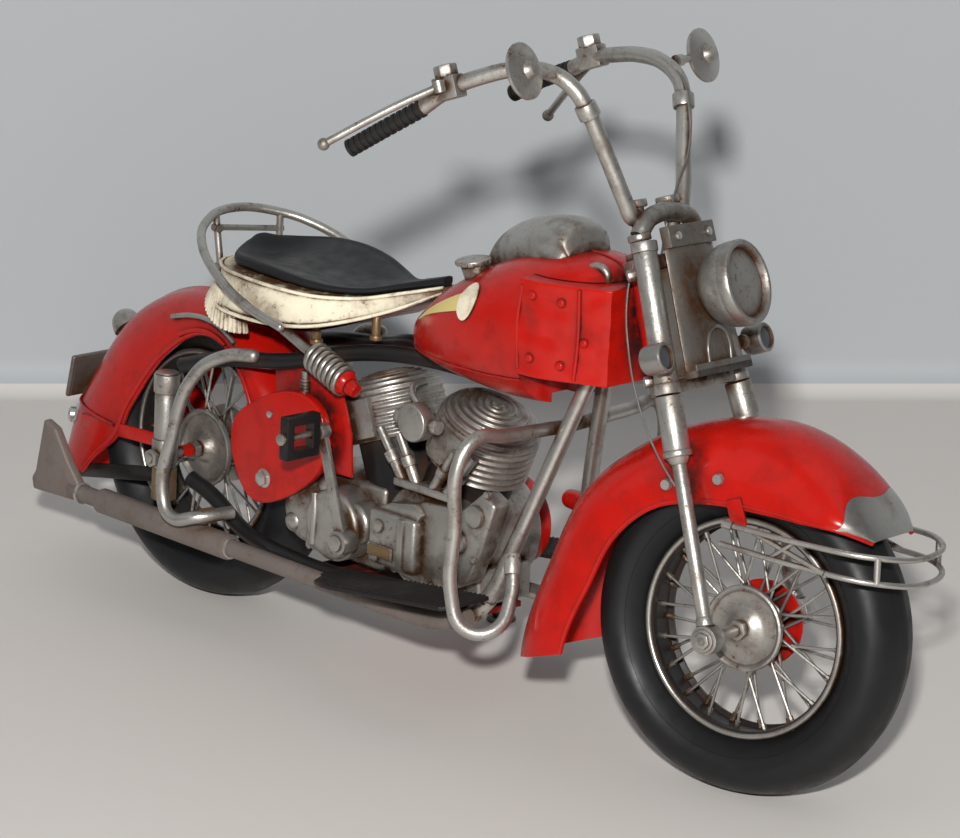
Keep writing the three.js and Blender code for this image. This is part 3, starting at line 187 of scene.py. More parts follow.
def tube(bm, points, radius, steps=8, resolution=5):
    """A round bar along a smooth curve."""
    line = bpy.data.curves.new("line", "CURVE")
    line.dimensions = "3D"
    line.bevel_depth = radius
    line.bevel_resolution = resolution
    line.resolution_u = steps
    line.use_fill_caps = True
    spline = line.splines.new("BEZIER")
    spline.bezier_points.add(len(points) - 1)
    for knot, point in zip(spline.bezier_points, points):
        knot.co = point
        knot.handle_left_type = knot.handle_right_type = "AUTO"
    holder = bpy.data.objects.new("line", line)
    made = bpy.data.meshes.new_from_object(holder)
    bm.from_mesh(made)
    bpy.data.objects.remove(holder)
    bpy.data.meshes.remove(made)
    bpy.data.curves.remove(line)


def turned(bm, profile, place=None, steps=64):
    """A piece turned about the Y axis from (radius, height) pairs; a profile off the axis is a closed ring."""
    fresh = bmesh.new()
    corners = [fresh.verts.new((radius, height, 0)) for radius, height in profile]
    edges = [fresh.edges.new(pair) for pair in zip(corners, corners[1:])]
    if profile[0][0] > 1e-6 or profile[-1][0] > 1e-6:
        edges.append(fresh.edges.new((corners[-1], corners[0])))
    bmesh.ops.spin(
        fresh, geom=corners + edges, axis=(0, 1, 0), cent=(0, 0, 0), angle=math.tau, steps=steps,
        use_merge=True
    )
    bmesh.ops.remove_doubles(fresh, verts=fresh.verts, dist=1e-4)
    if place is not None:
        bmesh.ops.transform(fresh, matrix=place, verts=fresh.verts)
    add(bm, fresh)


def add(bm, other):
    """Joins another mesh to this one."""
    bmesh.ops.recalc_face_normals(other, faces=other.faces)
    made = bpy.data.meshes.new("joined")
    other.to_mesh(made)
    other.free()
    bm.from_mesh(made)
    bpy.data.meshes.remove(made)


def pull(bm, corners, shift):
    """A flat face from its corners, given its thickness by pulling it along a shift."""
    face = bm.faces.new([bm.verts.new(corner) for corner in corners])
    grown = bmesh.ops.extrude_face_region(bm, geom=[face])
    moved = [g for g in grown["geom"] if isinstance(g, bmesh.types.BMVert)]
    bmesh.ops.translate(bm, vec=shift, verts=moved)


def plate(bm, outline, low, high):
    """A flat plate from an outline of (x, z) pairs, from y = low to y = high."""
    fresh = bmesh.new()
    pull(fresh, [(x, low, z) for x, z in outline], (0, high - low, 0))
    add(bm, fresh)


def skin(bm, point, around, along, closed=True):
    """A surface whose points come from point(u, t), u round it and t along it, both from 0 to 1."""
    fresh = bmesh.new()
    bmesh.ops.create_grid(fresh, x_segments=around, y_segments=along, size=0.5)
    for corner in fresh.verts:
        corner.co = point(corner.co.x + 0.5, corner.co.y + 0.5)
    if closed:
        bmesh.ops.remove_doubles(fresh, verts=fresh.verts, dist=1e-3)
        bmesh.ops.holes_fill(fresh, edges=[e for e in fresh.edges if e.is_boundary], sides=0)
    add(bm, fresh)


def facing_ahead(place):
    """A turned piece's axis along X instead of Y."""
    return Matrix.Translation(place) @ Matrix.Rotation(-math.pi / 2, 4, "Z")


def soften(bm, width, segments=2, angle=SHARP):
    sharp = [e for e in bm.edges if len(e.link_faces) == 2 and e.calc_face_angle(0) > math.radians(angle)]
    bmesh.ops.bevel(
        bm, geom=sharp, offset=width, offset_type="OFFSET", affect="EDGES", segments=segments, profile=0.5,
        material=-1, clamp_overlap=True
    )


def smooth_value(pairs, place):
    """The value at a place along (place, value) pairs, on a curve through them."""
    for i in range(len(pairs) - 1):
        if place <= pairs[i + 1][0] or i == len(pairs) - 2:
            break
    (x0, y0), (x1, y1) = pairs[i], pairs[i + 1]
    before = pairs[i - 1] if i else pairs[i]
    after = pairs[i + 2] if i + 2 < len(pairs) else pairs[i + 1]
    span = x1 - x0
    into = (y1 - before[1]) / (x1 - before[0]) * span
    out = (after[1] - y0) / (after[0] - x0) * span
    t = max(0.0, min(1.0, (place - x0) / span))
    return (
        (2 * t**3 - 3 * t**2 + 1) * y0
        + (t**3 - 2 * t**2 + t) * into
        + (3 * t**2 - 2 * t**3) * y1
        + (t**3 - t**2) * out
    )


def power(value, fullness):
    return math.copysign(abs(value) ** (2 / fullness), value)


def smooth_step(value, low, high):
    t = max(0.0, min(1.0, (value - low) / (high - low)))
    return t * t * (3 - 2 * t)


def carve(bm, *cutters):
    """Cuts boxes, given by their corners, out of a mesh."""
    base = as_object(bm, "base")
    for low, high in cutters:
        tool_mesh = bmesh.new()
        box(tool_mesh, low, high)
        tool = as_object(tool_mesh, "tool")
        cut = base.modifiers.new("cut", "BOOLEAN")
        cut.operation, cut.object, cut.solver = "DIFFERENCE", tool, "EXACT"
        made = bpy.data.meshes.new_from_object(base.evaluated_get(bpy.context.evaluated_depsgraph_get()))
        base.modifiers.clear()
        base.data = made
        bpy.data.objects.remove(tool)
    result = bmesh.new()
    result.from_mesh(base.data)
    bpy.data.objects.remove(base)
    return result


def as_object(bm, name):
    mesh = bpy.data.meshes.new(name)
    bm.to_mesh(mesh)
    bm.free()
    made = bpy.data.objects.new(name, mesh)
    bpy.context.scene.collection.objects.link(made)
    bpy.context.view_layer.update()
    return made


def keep(bm, name, place, body, finish, replaces=(), crease=SHARP):
    """Finishes a piece: puts it in its place, shades it and ties it to its body."""
    bmesh.ops.transform(bm, matrix=place, verts=bm.verts)
    for face in bm.faces:
        face.smooth = True
    made = as_object(bm, name)
    made.data.set_sharp_from_angle(angle=math.radians(crease))
    made.data.materials.append(material(finish))
    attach(made, body)
    if replaces:
        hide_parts(*replaces)
    return made


def on_frame(bm, name, finish, replaces=(), crease=SHARP):
    return keep(bm, name, BIKE, "frame", finish, replaces, crease)


def on_steering(bm, name, finish, replaces=(), crease=SHARP):
    return keep(bm, name, STEERING, "steering", finish, replaces, crease)


def socket(group, name, way, kind, value=None):
    made = group.interface.new_socket(name=name, in_out=way, socket_type="NodeSocket" + kind)
    if value is not None:
        made.default_value = value


def node(tree, kind, **values):
    made = tree.nodes.new(kind)
    for key, value in values.items():
        setattr(made, key, value)
    return made


def wear_and_shade_group():
    """Aged paint with painted shade: recesses that ambient occlusion finds are darkened towards the stains
    colour, partly grime and partly painted shade; random blotches and specks are real stains; and a fine
    uneven surface.
    """
    group = bpy.data.node_groups.get("Antiqued and shaded")
    if group:
        return group
    group = bpy.data.node_groups.new("Antiqued and shaded", "ShaderNodeTree")
    socket(group, "Paint", "INPUT", "Color", (0.5, 0.5, 0.5, 1))
    socket(group, "Stain and shade", "INPUT", "Color", (0.1, 0.04, 0.02, 1))
    socket(group, "Hollow dirt and shade", "INPUT", "Float", 0.6)
    socket(group, "Blotches", "INPUT", "Float", 0.2)
    socket(group, "Gloss", "INPUT", "Float", 0.4)
    socket(group, "Grain", "INPUT", "Float", 900.0)
    socket(group, "Colour", "OUTPUT", "Color")
    socket(group, "Roughness", "OUTPUT", "Float")
    socket(group, "Height", "OUTPUT", "Float")
    link = group.links.new
    given = node(group, "NodeGroupInput")
    result = node(group, "NodeGroupOutput")
    place = node(group, "ShaderNodeTexCoord")

    def mottle(scale, detail, low, high):
        """Noise, stretched so that low turns to 0 and high to 1."""
        texture = node(group, "ShaderNodeTexNoise")
        texture.inputs["Scale"].default_value = scale
        texture.inputs["Detail"].default_value = detail
        texture.inputs["Roughness"].default_value = 0.65
        link(place.outputs["Object"], texture.inputs["Vector"])
        spread = node(group, "ShaderNodeMapRange")
        spread.inputs["From Min"].default_value = low
        spread.inputs["From Max"].default_value = high
        link(texture.outputs["Fac"], spread.inputs["Value"])
        return spread.outputs["Result"]

    def calculate(operation, first, second, clamp=True):
        made = node(group, "ShaderNodeMath", operation=operation, use_clamp=clamp)
        for i, value in enumerate((first, second)):
            if isinstance(value, float):
                made.inputs[i].default_value = value
            else:
                link(value, made.inputs[i])
        return made.outputs[0]

    # Painted shade: ambient occlusion picks out creases and recesses, which are darkened below together with
    # grime
    shade = node(group, "ShaderNodeAmbientOcclusion", samples=6)
    shade.inputs["Distance"].default_value = 0.007
    open_air = node(group, "ShaderNodeMapRange")
    open_air.inputs["From Min"].default_value = 0.35
    open_air.inputs["From Max"].default_value = 0.97
    open_air.inputs["To Min"].default_value = 1
    open_air.inputs["To Max"].default_value = 0
    link(shade.outputs["AO"], open_air.inputs["Value"])
    broken = mottle(170, 6, 0.36, 0.6)
    # Painted shade mixed with grime: the darkening of recesses, broken up by noise
    hollow_dirt_and_shade = calculate("MULTIPLY", open_air.outputs["Result"], given.outputs["Hollow dirt and shade"])
    hollow_dirt_and_shade = calculate("MULTIPLY", hollow_dirt_and_shade, calculate("ADD", broken, 0.45, False))
    blotch = calculate("MULTIPLY", mottle(85, 9, 0.5, 0.64), given.outputs["Blotches"])
    speck = calculate("MULTIPLY", mottle(620, 3, 0.6, 0.66),
                      calculate("MULTIPLY", given.outputs["Blotches"], broken))
    mask = calculate("ADD", calculate("MAXIMUM", hollow_dirt_and_shade, blotch), speck)
    tone = node(group, "ShaderNodeMix", data_type="RGBA", blend_type="MIX")
    link(mask, tone.inputs["Factor"])
    link(given.outputs["Paint"], tone.inputs[MIX_FIRST])
    link(given.outputs["Stain and shade"], tone.inputs[MIX_SECOND])
    uneven = node(group, "ShaderNodeMix", data_type="RGBA", blend_type="MULTIPLY")
    uneven.inputs["Factor"].default_value = 1
    shading = node(group, "ShaderNodeMapRange")
    shading.inputs["To Min"].default_value = 0.82
    shading.inputs["To Max"].default_value = 1.1
    link(mottle(45, 4, 0.2, 0.8), shading.inputs["Value"])
    link(tone.outputs[MIX_COLOUR], uneven.inputs[MIX_FIRST])
    link(shading.outputs["Result"], uneven.inputs[MIX_SECOND])
    link(uneven.outputs[MIX_COLOUR], result.inputs["Colour"])
    rough = calculate("ADD", given.outputs["Gloss"], calculate("MULTIPLY", mask, 0.35))
    rough = calculate("ADD", rough, calculate("MULTIPLY", mottle(240, 4, 0.35, 0.75), 0.1))
    link(rough, result.inputs["Roughness"])
    fine = node(group, "ShaderNodeTexNoise")
    fine.inputs["Detail"].default_value = 4
    link(place.outputs["Object"], fine.inputs["Vector"])
    link(given.outputs["Grain"], fine.inputs["Scale"])
    link(calculate("SUBTRACT", fine.outputs["Fac"], calculate("MULTIPLY", mask, 0.25), False),
         result.inputs["Height"])
    return group


# Near-black red for dirt blotches on the red paint and for the painted shade in its recesses
RED_STAIN_AND_SHADE = (0.018, 0.004, 0.003, 1)
RELIEF = 0.0004
MIX_FIRST, MIX_SECOND, MIX_COLOUR = 6, 7, 2
# Aged finish with painted shade: colour setting, metallic, gloss, recess dirt and painted shade, blotches,
# grain, bump, coat
FINISHES = {
    "red": ("red", 0.0, 0.2, 1.1, 0.2, 260, 0.12, 0.12),
    "silver": ("silver", 0.88, 0.33, 1.6, 0.5, 800, 0.24, 0.0),
    "bright": ("silver", 0.92, 0.3, 1.0, 0.3, 800, 0.15, 0.0),
    "rusty": ("silver", 0.7, 0.4, 1.8, 1.5, 600, 0.5, 0.0),
    "pewter": ("pewter", 0.8, 0.34, 1.5, 0.5, 800, 0.25, 0.0),
    "black": ("black", 0.0, 0.28, 0.3, 0.04, 300, 0.08, 0.0),
    "cream": ("cream", 0.0, 0.45, 1.3, 0.5, 420, 0.25, 0.0),
    "grey": ("grey", 0.6, 0.38, 1.1, 0.4, 700, 0.4, 0.0),
    "dull": ("dull", 0.3, 0.5, 0.7, 0.25, 900, 0.4, 0.0),
}
# Plain finish: colour, metallic, roughness
PLAIN = {
    "rubber": ((0.010, 0.010, 0.011, 1), 0.0, 0.46),
    "leather": ((0.011, 0.011, 0.012, 1), 0.0, 0.42),
    "ribs": ((0.014, 0.013, 0.012, 1), 0.0, 0.5),
    "badge": ((0.72, 0.58, 0.22, 1), 0.0, 0.4),
    "lens": ((0.10, 0.10, 0.11, 1), 0.6, 0.22),
    "brown": ((0.26, 0.17, 0.09, 1), 0.7, 0.42),
    "wire": ((0.24, 0.23, 0.21, 1), 0.8, 0.4),
    "rivet": ((0.60, 0.59, 0.56, 1), 0.9, 0.3),
}


def material(name):
    made = bpy.data.materials.get(name)
    if made:
        return made
    made = bpy.data.materials.new(name)
    made.use_nodes = True
    tree = made.node_tree
    shader = tree.nodes["Principled BSDF"]
    if name in FINISHES:
        key, metallic, gloss, hollow_dirt_and_shade_amount, blotches, grain, bump, coat = FINISHES[name]
        tints = bpy.context.scene.motorcycle_colours
        wear_and_shade = node(tree, "ShaderNodeGroup", node_tree=wear_and_shade_group())
        wear_and_shade.inputs["Paint"].default_value = getattr(tints, key)
        # Colour of the stains and of the painted shade in recesses
        stain_and_shade = V(tints.rust_and_shade) if key != "red" else V(RED_STAIN_AND_SHADE)
        wear_and_shade.inputs["Stain and shade"].default_value = stain_and_shade
        for label, value in (("Hollow dirt and shade", hollow_dirt_and_shade_amount), ("Blotches", blotches), ("Gloss", gloss),
            ("Grain", grain)):
            wear_and_shade.inputs[label].default_value = value
        tree.links.new(wear_and_shade.outputs["Colour"], shader.inputs["Base Color"])
        tree.links.new(wear_and_shade.outputs["Roughness"], shader.inputs["Roughness"])
        relief = node(tree, "ShaderNodeBump")
        relief.inputs["Strength"].default_value = bump
        relief.inputs["Distance"].default_value = RELIEF
        tree.links.new(wear_and_shade.outputs["Height"], relief.inputs["Height"])
        tree.links.new(relief.outputs["Normal"], shader.inputs["Normal"])
        shader.inputs["Metallic"].default_value = metallic
        shader.inputs["Coat Weight"].default_value = coat
        shader.inputs["Coat Roughness"].default_value = 0.1
        shader.inputs["Specular IOR Level"].default_value = 0.5 if metallic else 0.28
    else:
        tint, metallic, rough = PLAIN[name]
        texture = node(tree, "ShaderNodeTexNoise")
        texture.inputs["Scale"].default_value = 180
        texture.inputs["Detail"].default_value = 6
        place = node(tree, "ShaderNodeTexCoord")
        tree.links.new(place.outputs["Object"], texture.inputs["Vector"])
        spread = node(tree, "ShaderNodeMapRange")
        spread.inputs["From Min"].default_value = 0.3
        spread.inputs["From Max"].default_value = 0.7
        spread.inputs["To Min"].default_value = rough - 0.08
        spread.inputs["To Max"].default_value = rough + 0.1
        tree.links.new(texture.outputs["Fac"], spread.inputs["Value"])
        tree.links.new(spread.outputs["Result"], shader.inputs["Roughness"])
        shader.inputs["Base Color"].default_value = tint
        shader.inputs["Metallic"].default_value = metallic
        shader.inputs["Specular IOR Level"].default_value = 0.5 if metallic else 0.3
    return made


# ---- Wheels: about their own axle, along Y -----------------------------------------------------------
def make_tyre(name, place, body):
    bead, outer = RIM_RADIUS + GAP, AXLE_HIGH
    middle, depth = (bead + outer) / 2, (outer - bead) / 2
    sweep, steps = math.radians(126), 30
    wall = []
    for i in range(steps + 1):
        turn = -sweep + 2 * sweep * i / steps
        seam = 0.35 * math.exp(-((turn / 0.035) ** 2))
        wall.append((middle + (depth - 0.35) * math.cos(turn) + seam, TYRE_HALF * math.sin(turn)))
    bm = bmesh.new()
    turned(bm, [(bead, -RIM_HALF), *wall, (bead, RIM_HALF)], steps=120)
    for side in (-1, 1):
        ring = [(bead + 4.4, side * 9.0), (bead + 4.9, side * 10.9), (bead + 5.6, side * 9.6)]
        turned(bm, ring, steps=96)
    keep(bm, name, place, body, "rubber", (name.replace("_rubber", ""),), 60)


def make_rim(name, place, body):
    sizes = bpy.context.scene.motorcycle_sizes
    bm = bmesh.new()
    lip = 2.2
    turned(
        bm,
        [
            (RIM_RADIUS, -RIM_HALF),
            (RIM_RADIUS, RIM_HALF),
            (RIM_RADIUS - lip, RIM_HALF + 0.2),
            (RIM_RADIUS - lip - 0.3, RIM_HALF - 1.2),
            (RIM_RADIUS - 1.3, RIM_HALF - 2.2),
            (RIM_RADIUS - 1.3, -RIM_HALF + 2.2),
            (RIM_RADIUS - lip - 0.3, -RIM_HALF + 1.2),
            (RIM_RADIUS - lip, -RIM_HALF - 0.2),
        ],
        steps=96,
    )
    keep(bm, name + "_band", place, body, "black", (name,), 50)
    for side, word in SIDES:
        wire = bmesh.new()
        section = [
            (RIM_RADIUS - 0.7 + 0.95 * math.cos(a), side * (RIM_HALF + 0.5) + 0.95 * math.sin(a))
            for a in (i * math.tau / 10 for i in range(10))
        ]
        turned(wire, section, steps=96)
        keep(wire, f"{name}_wire_{word}", place, body, "bright", (), 60)
        make_spokes(f"{name}_spokes_{word}", side, place, body, sizes)
    hub = bmesh.new()
    turned(
        hub,
        [(1.9, -HUB_HALF), (FLANGE_RADIUS, -HUB_HALF), (FLANGE_RADIUS, -3.6), (5, -3), (5, 3),
         (FLANGE_RADIUS, 3.6),
         (FLANGE_RADIUS, HUB_HALF), (1.9, HUB_HALF)],
        steps=40,
    )
    soften(hub, 0.25)
    keep(hub, name + "_hub", place, body, "silver")


def make_spokes(name, side, place, body, sizes):
    bm = bmesh.new()
    count, lace = sizes.spokes_per_side, math.radians(30)
    for i in range(count):
        leaning = 1 if i % 2 else -1
        rim_turn = i / count * math.tau + (math.pi / count if side > 0 else 0)
        hub_turn = rim_turn + leaning * lace
        root = (7 * math.sin(hub_turn), side * (4.3 - 0.3 * leaning), 7 * math.cos(hub_turn))
        reach = RIM_RADIUS - 1.5
        tip = (reach * math.sin(rim_turn), side * RIM_HALF / 2, reach * math.cos(rim_turn))
        rod(bm, root, tip, sizes.spoke_radius, sides=8)
        rod(bm, V(root).lerp(V(tip), 0.9), tip, sizes.spoke_radius * 1.7, sides=8)
    keep(bm, name, place, body, "bright" if side < 0 else "silver")


def make_disc(name, side, nose, place, body, finish):
    bm = bmesh.new()
    face = DISC_BACK + 0.5
    profile = [
        (1.9, DISC_BACK),
        (DISC_RADIUS - 0.5, DISC_BACK),
        (DISC_RADIUS, face + 0.3),
        (DISC_RADIUS - 0.2, face + 1.3),
        (DISC_RADIUS - 0.8, face + 1.55),
        (DISC_RADIUS - 1.5, face + 1.2),
        (DISC_RADIUS - 2.1, face + 0.3),
        (DISC_RADIUS - 4, face - 0.1),
        (7, face + 0.2),
        (5.6, face + 0.5),
        (4.8, face + 1.3),
        (3.4, face + nose - 0.4),
        (2.9, face + nose),
        (1.9, face + nose),
    ]
    turn = Matrix.Rotation(math.pi, 4, "X") if side < 0 else Matrix()
    turned(bm, profile, turn, 80)
    keep(bm, name + "_plate", place, body, finish,
         (name,), 40)


class MOTORCYCLE_OT_wheels(bpy.types.Operator):
    """Tyres with a fine seam, laced rims, hubs and dished brake discs"""

    bl_idname = "motorcycle.wheels"
    bl_label = "Wheels"

    def execute(self, context):
        make_tyre("front_tyre_rubber", FRONT_WHEEL, "front_wheel")
        make_tyre("rear_tyre_rubber", REAR_WHEEL, "rear_wheel")
        make_rim("front_rim", FRONT_WHEEL, "front_wheel")
        make_rim("rear_rim", REAR_WHEEL, "rear_wheel")
        make_disc("front_brake_disc_right", -1, 2.2, FRONT_WHEEL, "front_wheel", "silver")
        make_disc("front_brake_disc_left", 1, 2.2, FRONT_WHEEL, "front_wheel", "red")
        make_disc("rear_brake_disc_right", -1, 3.4, REAR_WHEEL, "rear_wheel", "silver")
        sprocket = bmesh.new()
        turned(sprocket, [(5, 4), (DISC_RADIUS, 4), (DISC_RADIUS, 6), (5, 6)], steps=48)
        keep(sprocket, "rear_sprocket", REAR_WHEEL, "rear_wheel", "silver")
        return {"FINISHED"}


# ---- Fork and lamps, in the steering's frame ---------------------------------------------------------
def leg_at(side, height, ahead=FORK_OFFSET):
    return V((ahead, side * (LEG_SPREAD - LEG_TAPER * height), height))


class MOTORCYCLE_OT_fork(bpy.types.Operator):
    """Axle, fork legs, cover tubes with collars and the yokes"""

    bl_idname = "motorcycle.fork"
    bl_label = "Fork"

    def execute(self, context):
        axle = bmesh.new()
        end = LEG_SPREAD + 4
        rod(axle, (FORK_OFFSET, -end, 0), (FORK_OFFSET, end, 0), 1.6)
        for side in (-1, 1):
            rod(axle, (FORK_OFFSET, side * 8.7, 0), (FORK_OFFSET, side * 11.3, 0), 3.2, sides=6)
            rod(axle, (FORK_OFFSET, side * (end - 1.4), 0), (FORK_OFFSET, side * end, 0), 2.6, sides=6)
        soften(axle, 0.25)
        on_steering(axle, "front_axle_bar", "silver", ("front_axle",))
        for side, word in SIDES:
            self.leg(side, word)
        self.yoke()
        return {"FINISHED"}

    def leg(self, side, word):
        bm = bmesh.new()
        at = lambda height: leg_at(side, height)
        boss = V((FORK_OFFSET, side * LEG_SPREAD, 0))
        rod(bm, boss + V((0, -2.8, 0)), boss + V((0, 2.8, 0)), 4.4)
        rod(bm, boss + V((0, side * 1.2, 0)), boss + V((0, side * 3.4, 0)), 3.4)
        rod(bm, at(1), at(56), 2.25)
        rod(bm, at(4), at(7), 2.9, 2.3)
        rod(bm, at(52), at(55), 2.3, 4.0)
        rod(bm, at(55), at(LOWER_YOKE - 2.4), 4.1)
        rod(bm, at(54.4), at(56.2), 4.45)
        soften(bm, 0.35)
        on_steering(bm, f"fork_leg_{word}_tube", "silver", (f"fork_leg_{word}",))

    def yoke(self):
        covers = bmesh.new()
        plates = bmesh.new()
        for side in (-1, 1):
            rod(covers, leg_at(side, LOWER_YOKE - 2), leg_at(side, COVER_TOP), 3.7)
            rod(covers, leg_at(side, COVER_TOP - 3.2), leg_at(side, COVER_TOP), 4.1)
            rod(covers, leg_at(side, LOWER_YOKE - 2), leg_at(side, LOWER_YOKE + 1.4), 4.0)
            for height in (110, 78):
                spot = leg_at(side, height, 8.4) + V((0, side * 0.4, 0))
                rod(plates, spot, spot + V((-2.4, side * 2.2, 0)), 1.9, sides=6)
        for height in (LOWER_YOKE, UPPER_YOKE):
            spread = leg_at(1, height).y
            tilt = Matrix.Translation((0, 0, height)) @ Matrix.Rotation(math.pi / 2, 4, "X")
            fresh = bmesh.new()
            plate(fresh, [(-4.2, -4), (-4.2, 4), (9, spread), (14, spread), (14, -spread), (9, -spread)],
                  -2, 2)
            bmesh.ops.transform(fresh, matrix=tilt, verts=fresh.verts)
            add(plates, fresh)
        rod(plates, (0, 0, LOWER_YOKE - 2), (0, 0, UPPER_YOKE + 3), 3)
        rod(plates, (0, 0, UPPER_YOKE + 2), (0, 0, UPPER_YOKE + 4.4), 4.4, sides=6)
        soften(covers, 0.4)
        soften(plates, 0.4)
        on_steering(covers, "fork_cover_tubes", "silver", ("fork_yoke",))
        on_steering(plates, "fork_yoke_plates", "silver")


NACELLE_BACK = FORK_OFFSET + 4.2 + GAP
NACELLE_FACE = NACELLE_BACK + 2.6
LAMP_HIGH = 101.0


class MOTORCYCLE_OT_lamps(bpy.types.Operator):
    """The sheet nacelle with its band and tray, the headlamp and the two spot lamps"""

    bl_idname = "motorcycle.lamps"
    bl_label = "Lamps"

    def execute(self, context):
        self.nacelle()
        self.headlamp()
        for side, word in SIDES:
            self.spot_lamp(side, word)
        return {"FINISHED"}

    def nacelle(self):
        low, high = LOWER_YOKE + 3, UPPER_YOKE + 9.5
        bm = bmesh.new()

        def face(u, t):
            """A shield bowed across its front, wider below."""
            height = low + (high - low) * t
            half = 15.5 - 3.1 * t
            across = (u * 2 - 1) * half
            return V((NACELLE_BACK + 2.6 - 2.4 * abs(u * 2 - 1) ** 5, across, height))

        skin(bm, face, 24, 12, closed=False)
        bmesh.ops.solidify(bm, geom=bm.faces[:], thickness=SHEET)
        box(bm, (6, -7, LOWER_YOKE + 2.4), (NACELLE_FACE - 1.4, 7, UPPER_YOKE - 2.4))
        box(bm, (NACELLE_BACK, -13.3, high - 6.6), (NACELLE_FACE + 0.7, 13.3, high))
        box(bm, (NACELLE_BACK, -16.3, low - 1.8), (NACELLE_FACE + 2.1, 16.3, low + 0.5))
        box(bm, (NACELLE_FACE + 1.2, -16.3, low - 1.8), (NACELLE_FACE + 2.1, 16.3, low + 2))
        bmesh.ops.recalc_face_normals(bm, faces=bm.faces)
        soften(bm, 0.3)
        on_steering(bm, "nacelle_sheet", "grey", ("nacelle",))
        wire = bmesh.new()
        ahead = NACELLE_FACE + 0.9
        tube(wire, [(ahead, -6.5, low + 2), (ahead + 0.6, -6.3, low + 7), (ahead + 0.8, -3, low + 11.4),
                    (ahead + 0.8, 3, low + 11.4),
                    (ahead + 0.6, 6.3, low + 7), (ahead, 6.5, low + 2)], 0.55)
        on_steering(wire, "nacelle_wire", "wire")
        bolts = bmesh.new()
        for side in (-1, 1):
            rod(bolts, (NACELLE_FACE + 0.6, side * 9, high - 3.4),
                (NACELLE_FACE + 1.7, side * 9, high - 3.4), 1.3, sides=16)
        soften(bolts, 0.25)
        on_steering(bolts, "nacelle_studs", "rivet")

    def headlamp(self):
        radius, depth = 13.0, 16.0
        place = facing_ahead((NACELLE_FACE + GAP, 0, LAMP_HIGH))
        bowl = bmesh.new()
        bowl_deep, bends = 12.2, [i * math.pi / 2 / 14 for i in range(15)]
        curve = [(radius * math.sin(a), bowl_deep - bowl_deep * math.cos(a)) for a in bends]
        turned(bowl, [*curve, (radius - 0.2, 13), (radius - 2, 13), (0, 10.5)], place)
        on_steering(bowl, "headlamp_bowl", "pewter", ("headlamp",), 30)
        ring = bmesh.new()
        turned(ring, [(radius - 0.2, 12), (radius, 12.6), (radius, depth - 0.6), (radius - 0.5, depth),
                      (radius - 1.6, depth),
                      (radius - 2.3, depth - 0.9), (radius - 2.5, 12)], place)
        on_steering(ring, "headlamp_bezel", "pewter", (), 40)
        glass = bmesh.new()
        turned(glass, [(0, 12), (radius - 2.4, 12), (radius - 2.4, depth - 2), (radius - 4, depth - 1.6),
                       (6, depth - 1.1), (0, depth - 0.9)], place)
        on_steering(glass, "headlamp_disc", "pewter", (), 40)

    def spot_lamp(self, side, word):
        radius, length, high = 4.6, 8.0, 84.0
        spread = leg_at(side, high).y + side * (3.7 + GAP + radius + 2)
        place = facing_ahead((FORK_OFFSET, spread, high))
        bm = bmesh.new()
        turned(bm, [(0, 0), (radius * 0.55, 0), (radius * 0.9, 0.9), (radius, 2.2), (radius, length - 0.4),
                    (radius - 0.4, length),
                    (radius - 1, length), (radius - 1.3, length - 1.2), (0, length - 0.9)], place, 48)
        start = leg_at(side, high, FORK_OFFSET + 3) + V((0, side * 3.5, 0))
        rod(bm, start, (FORK_OFFSET + 3, spread, high), 1.4)
        rod(bm, start, start + V((0, side * 1.6, 0)), 2.2, sides=20)
        on_steering(bm, f"spot_lamp_{word}_can", "pewter", (f"spot_lamp_{word}",), 32)
        lens = bmesh.new()
        turned(lens, [(0, length - 1.2), (radius - 1.2, length - 1.2), (radius - 1.2, length - 0.7),
                      (0, length - 0.3)], place, 40)
        on_steering(lens, f"spot_lamp_{word}_lens", "lens")


# ---- Handlebar ---------------------------------------------------------------------------------------
LEFT_LIFT = 12.0
BAR_CLAMP, BAR_COLLAR, BAR_ELBOW = 9, 4, 6


def bar_path(side):
    points = []
    for x, y, z in (
        (8, 9.5, 127.5), (8.5, 13.5, 126.8), (9.3, 17, 132), (9.8, 22.5, 146), (10, 28, 160),
        (8.6, 30.5, 167),
        (3.5, 32.5, 173), (-5, 35.4, 176.4), (-16, 38.8, 177), (-27, 41.8, 175.6), (-37, 44, 172),
        (-50, 46.3, 168.8),
        (-62, 48, 165.8),
    ):
        lift = LEFT_LIFT * smooth_step(-x, -8, 66) if side > 0 else 0
        points.append(V((x, side * y, z + lift)))
    return points


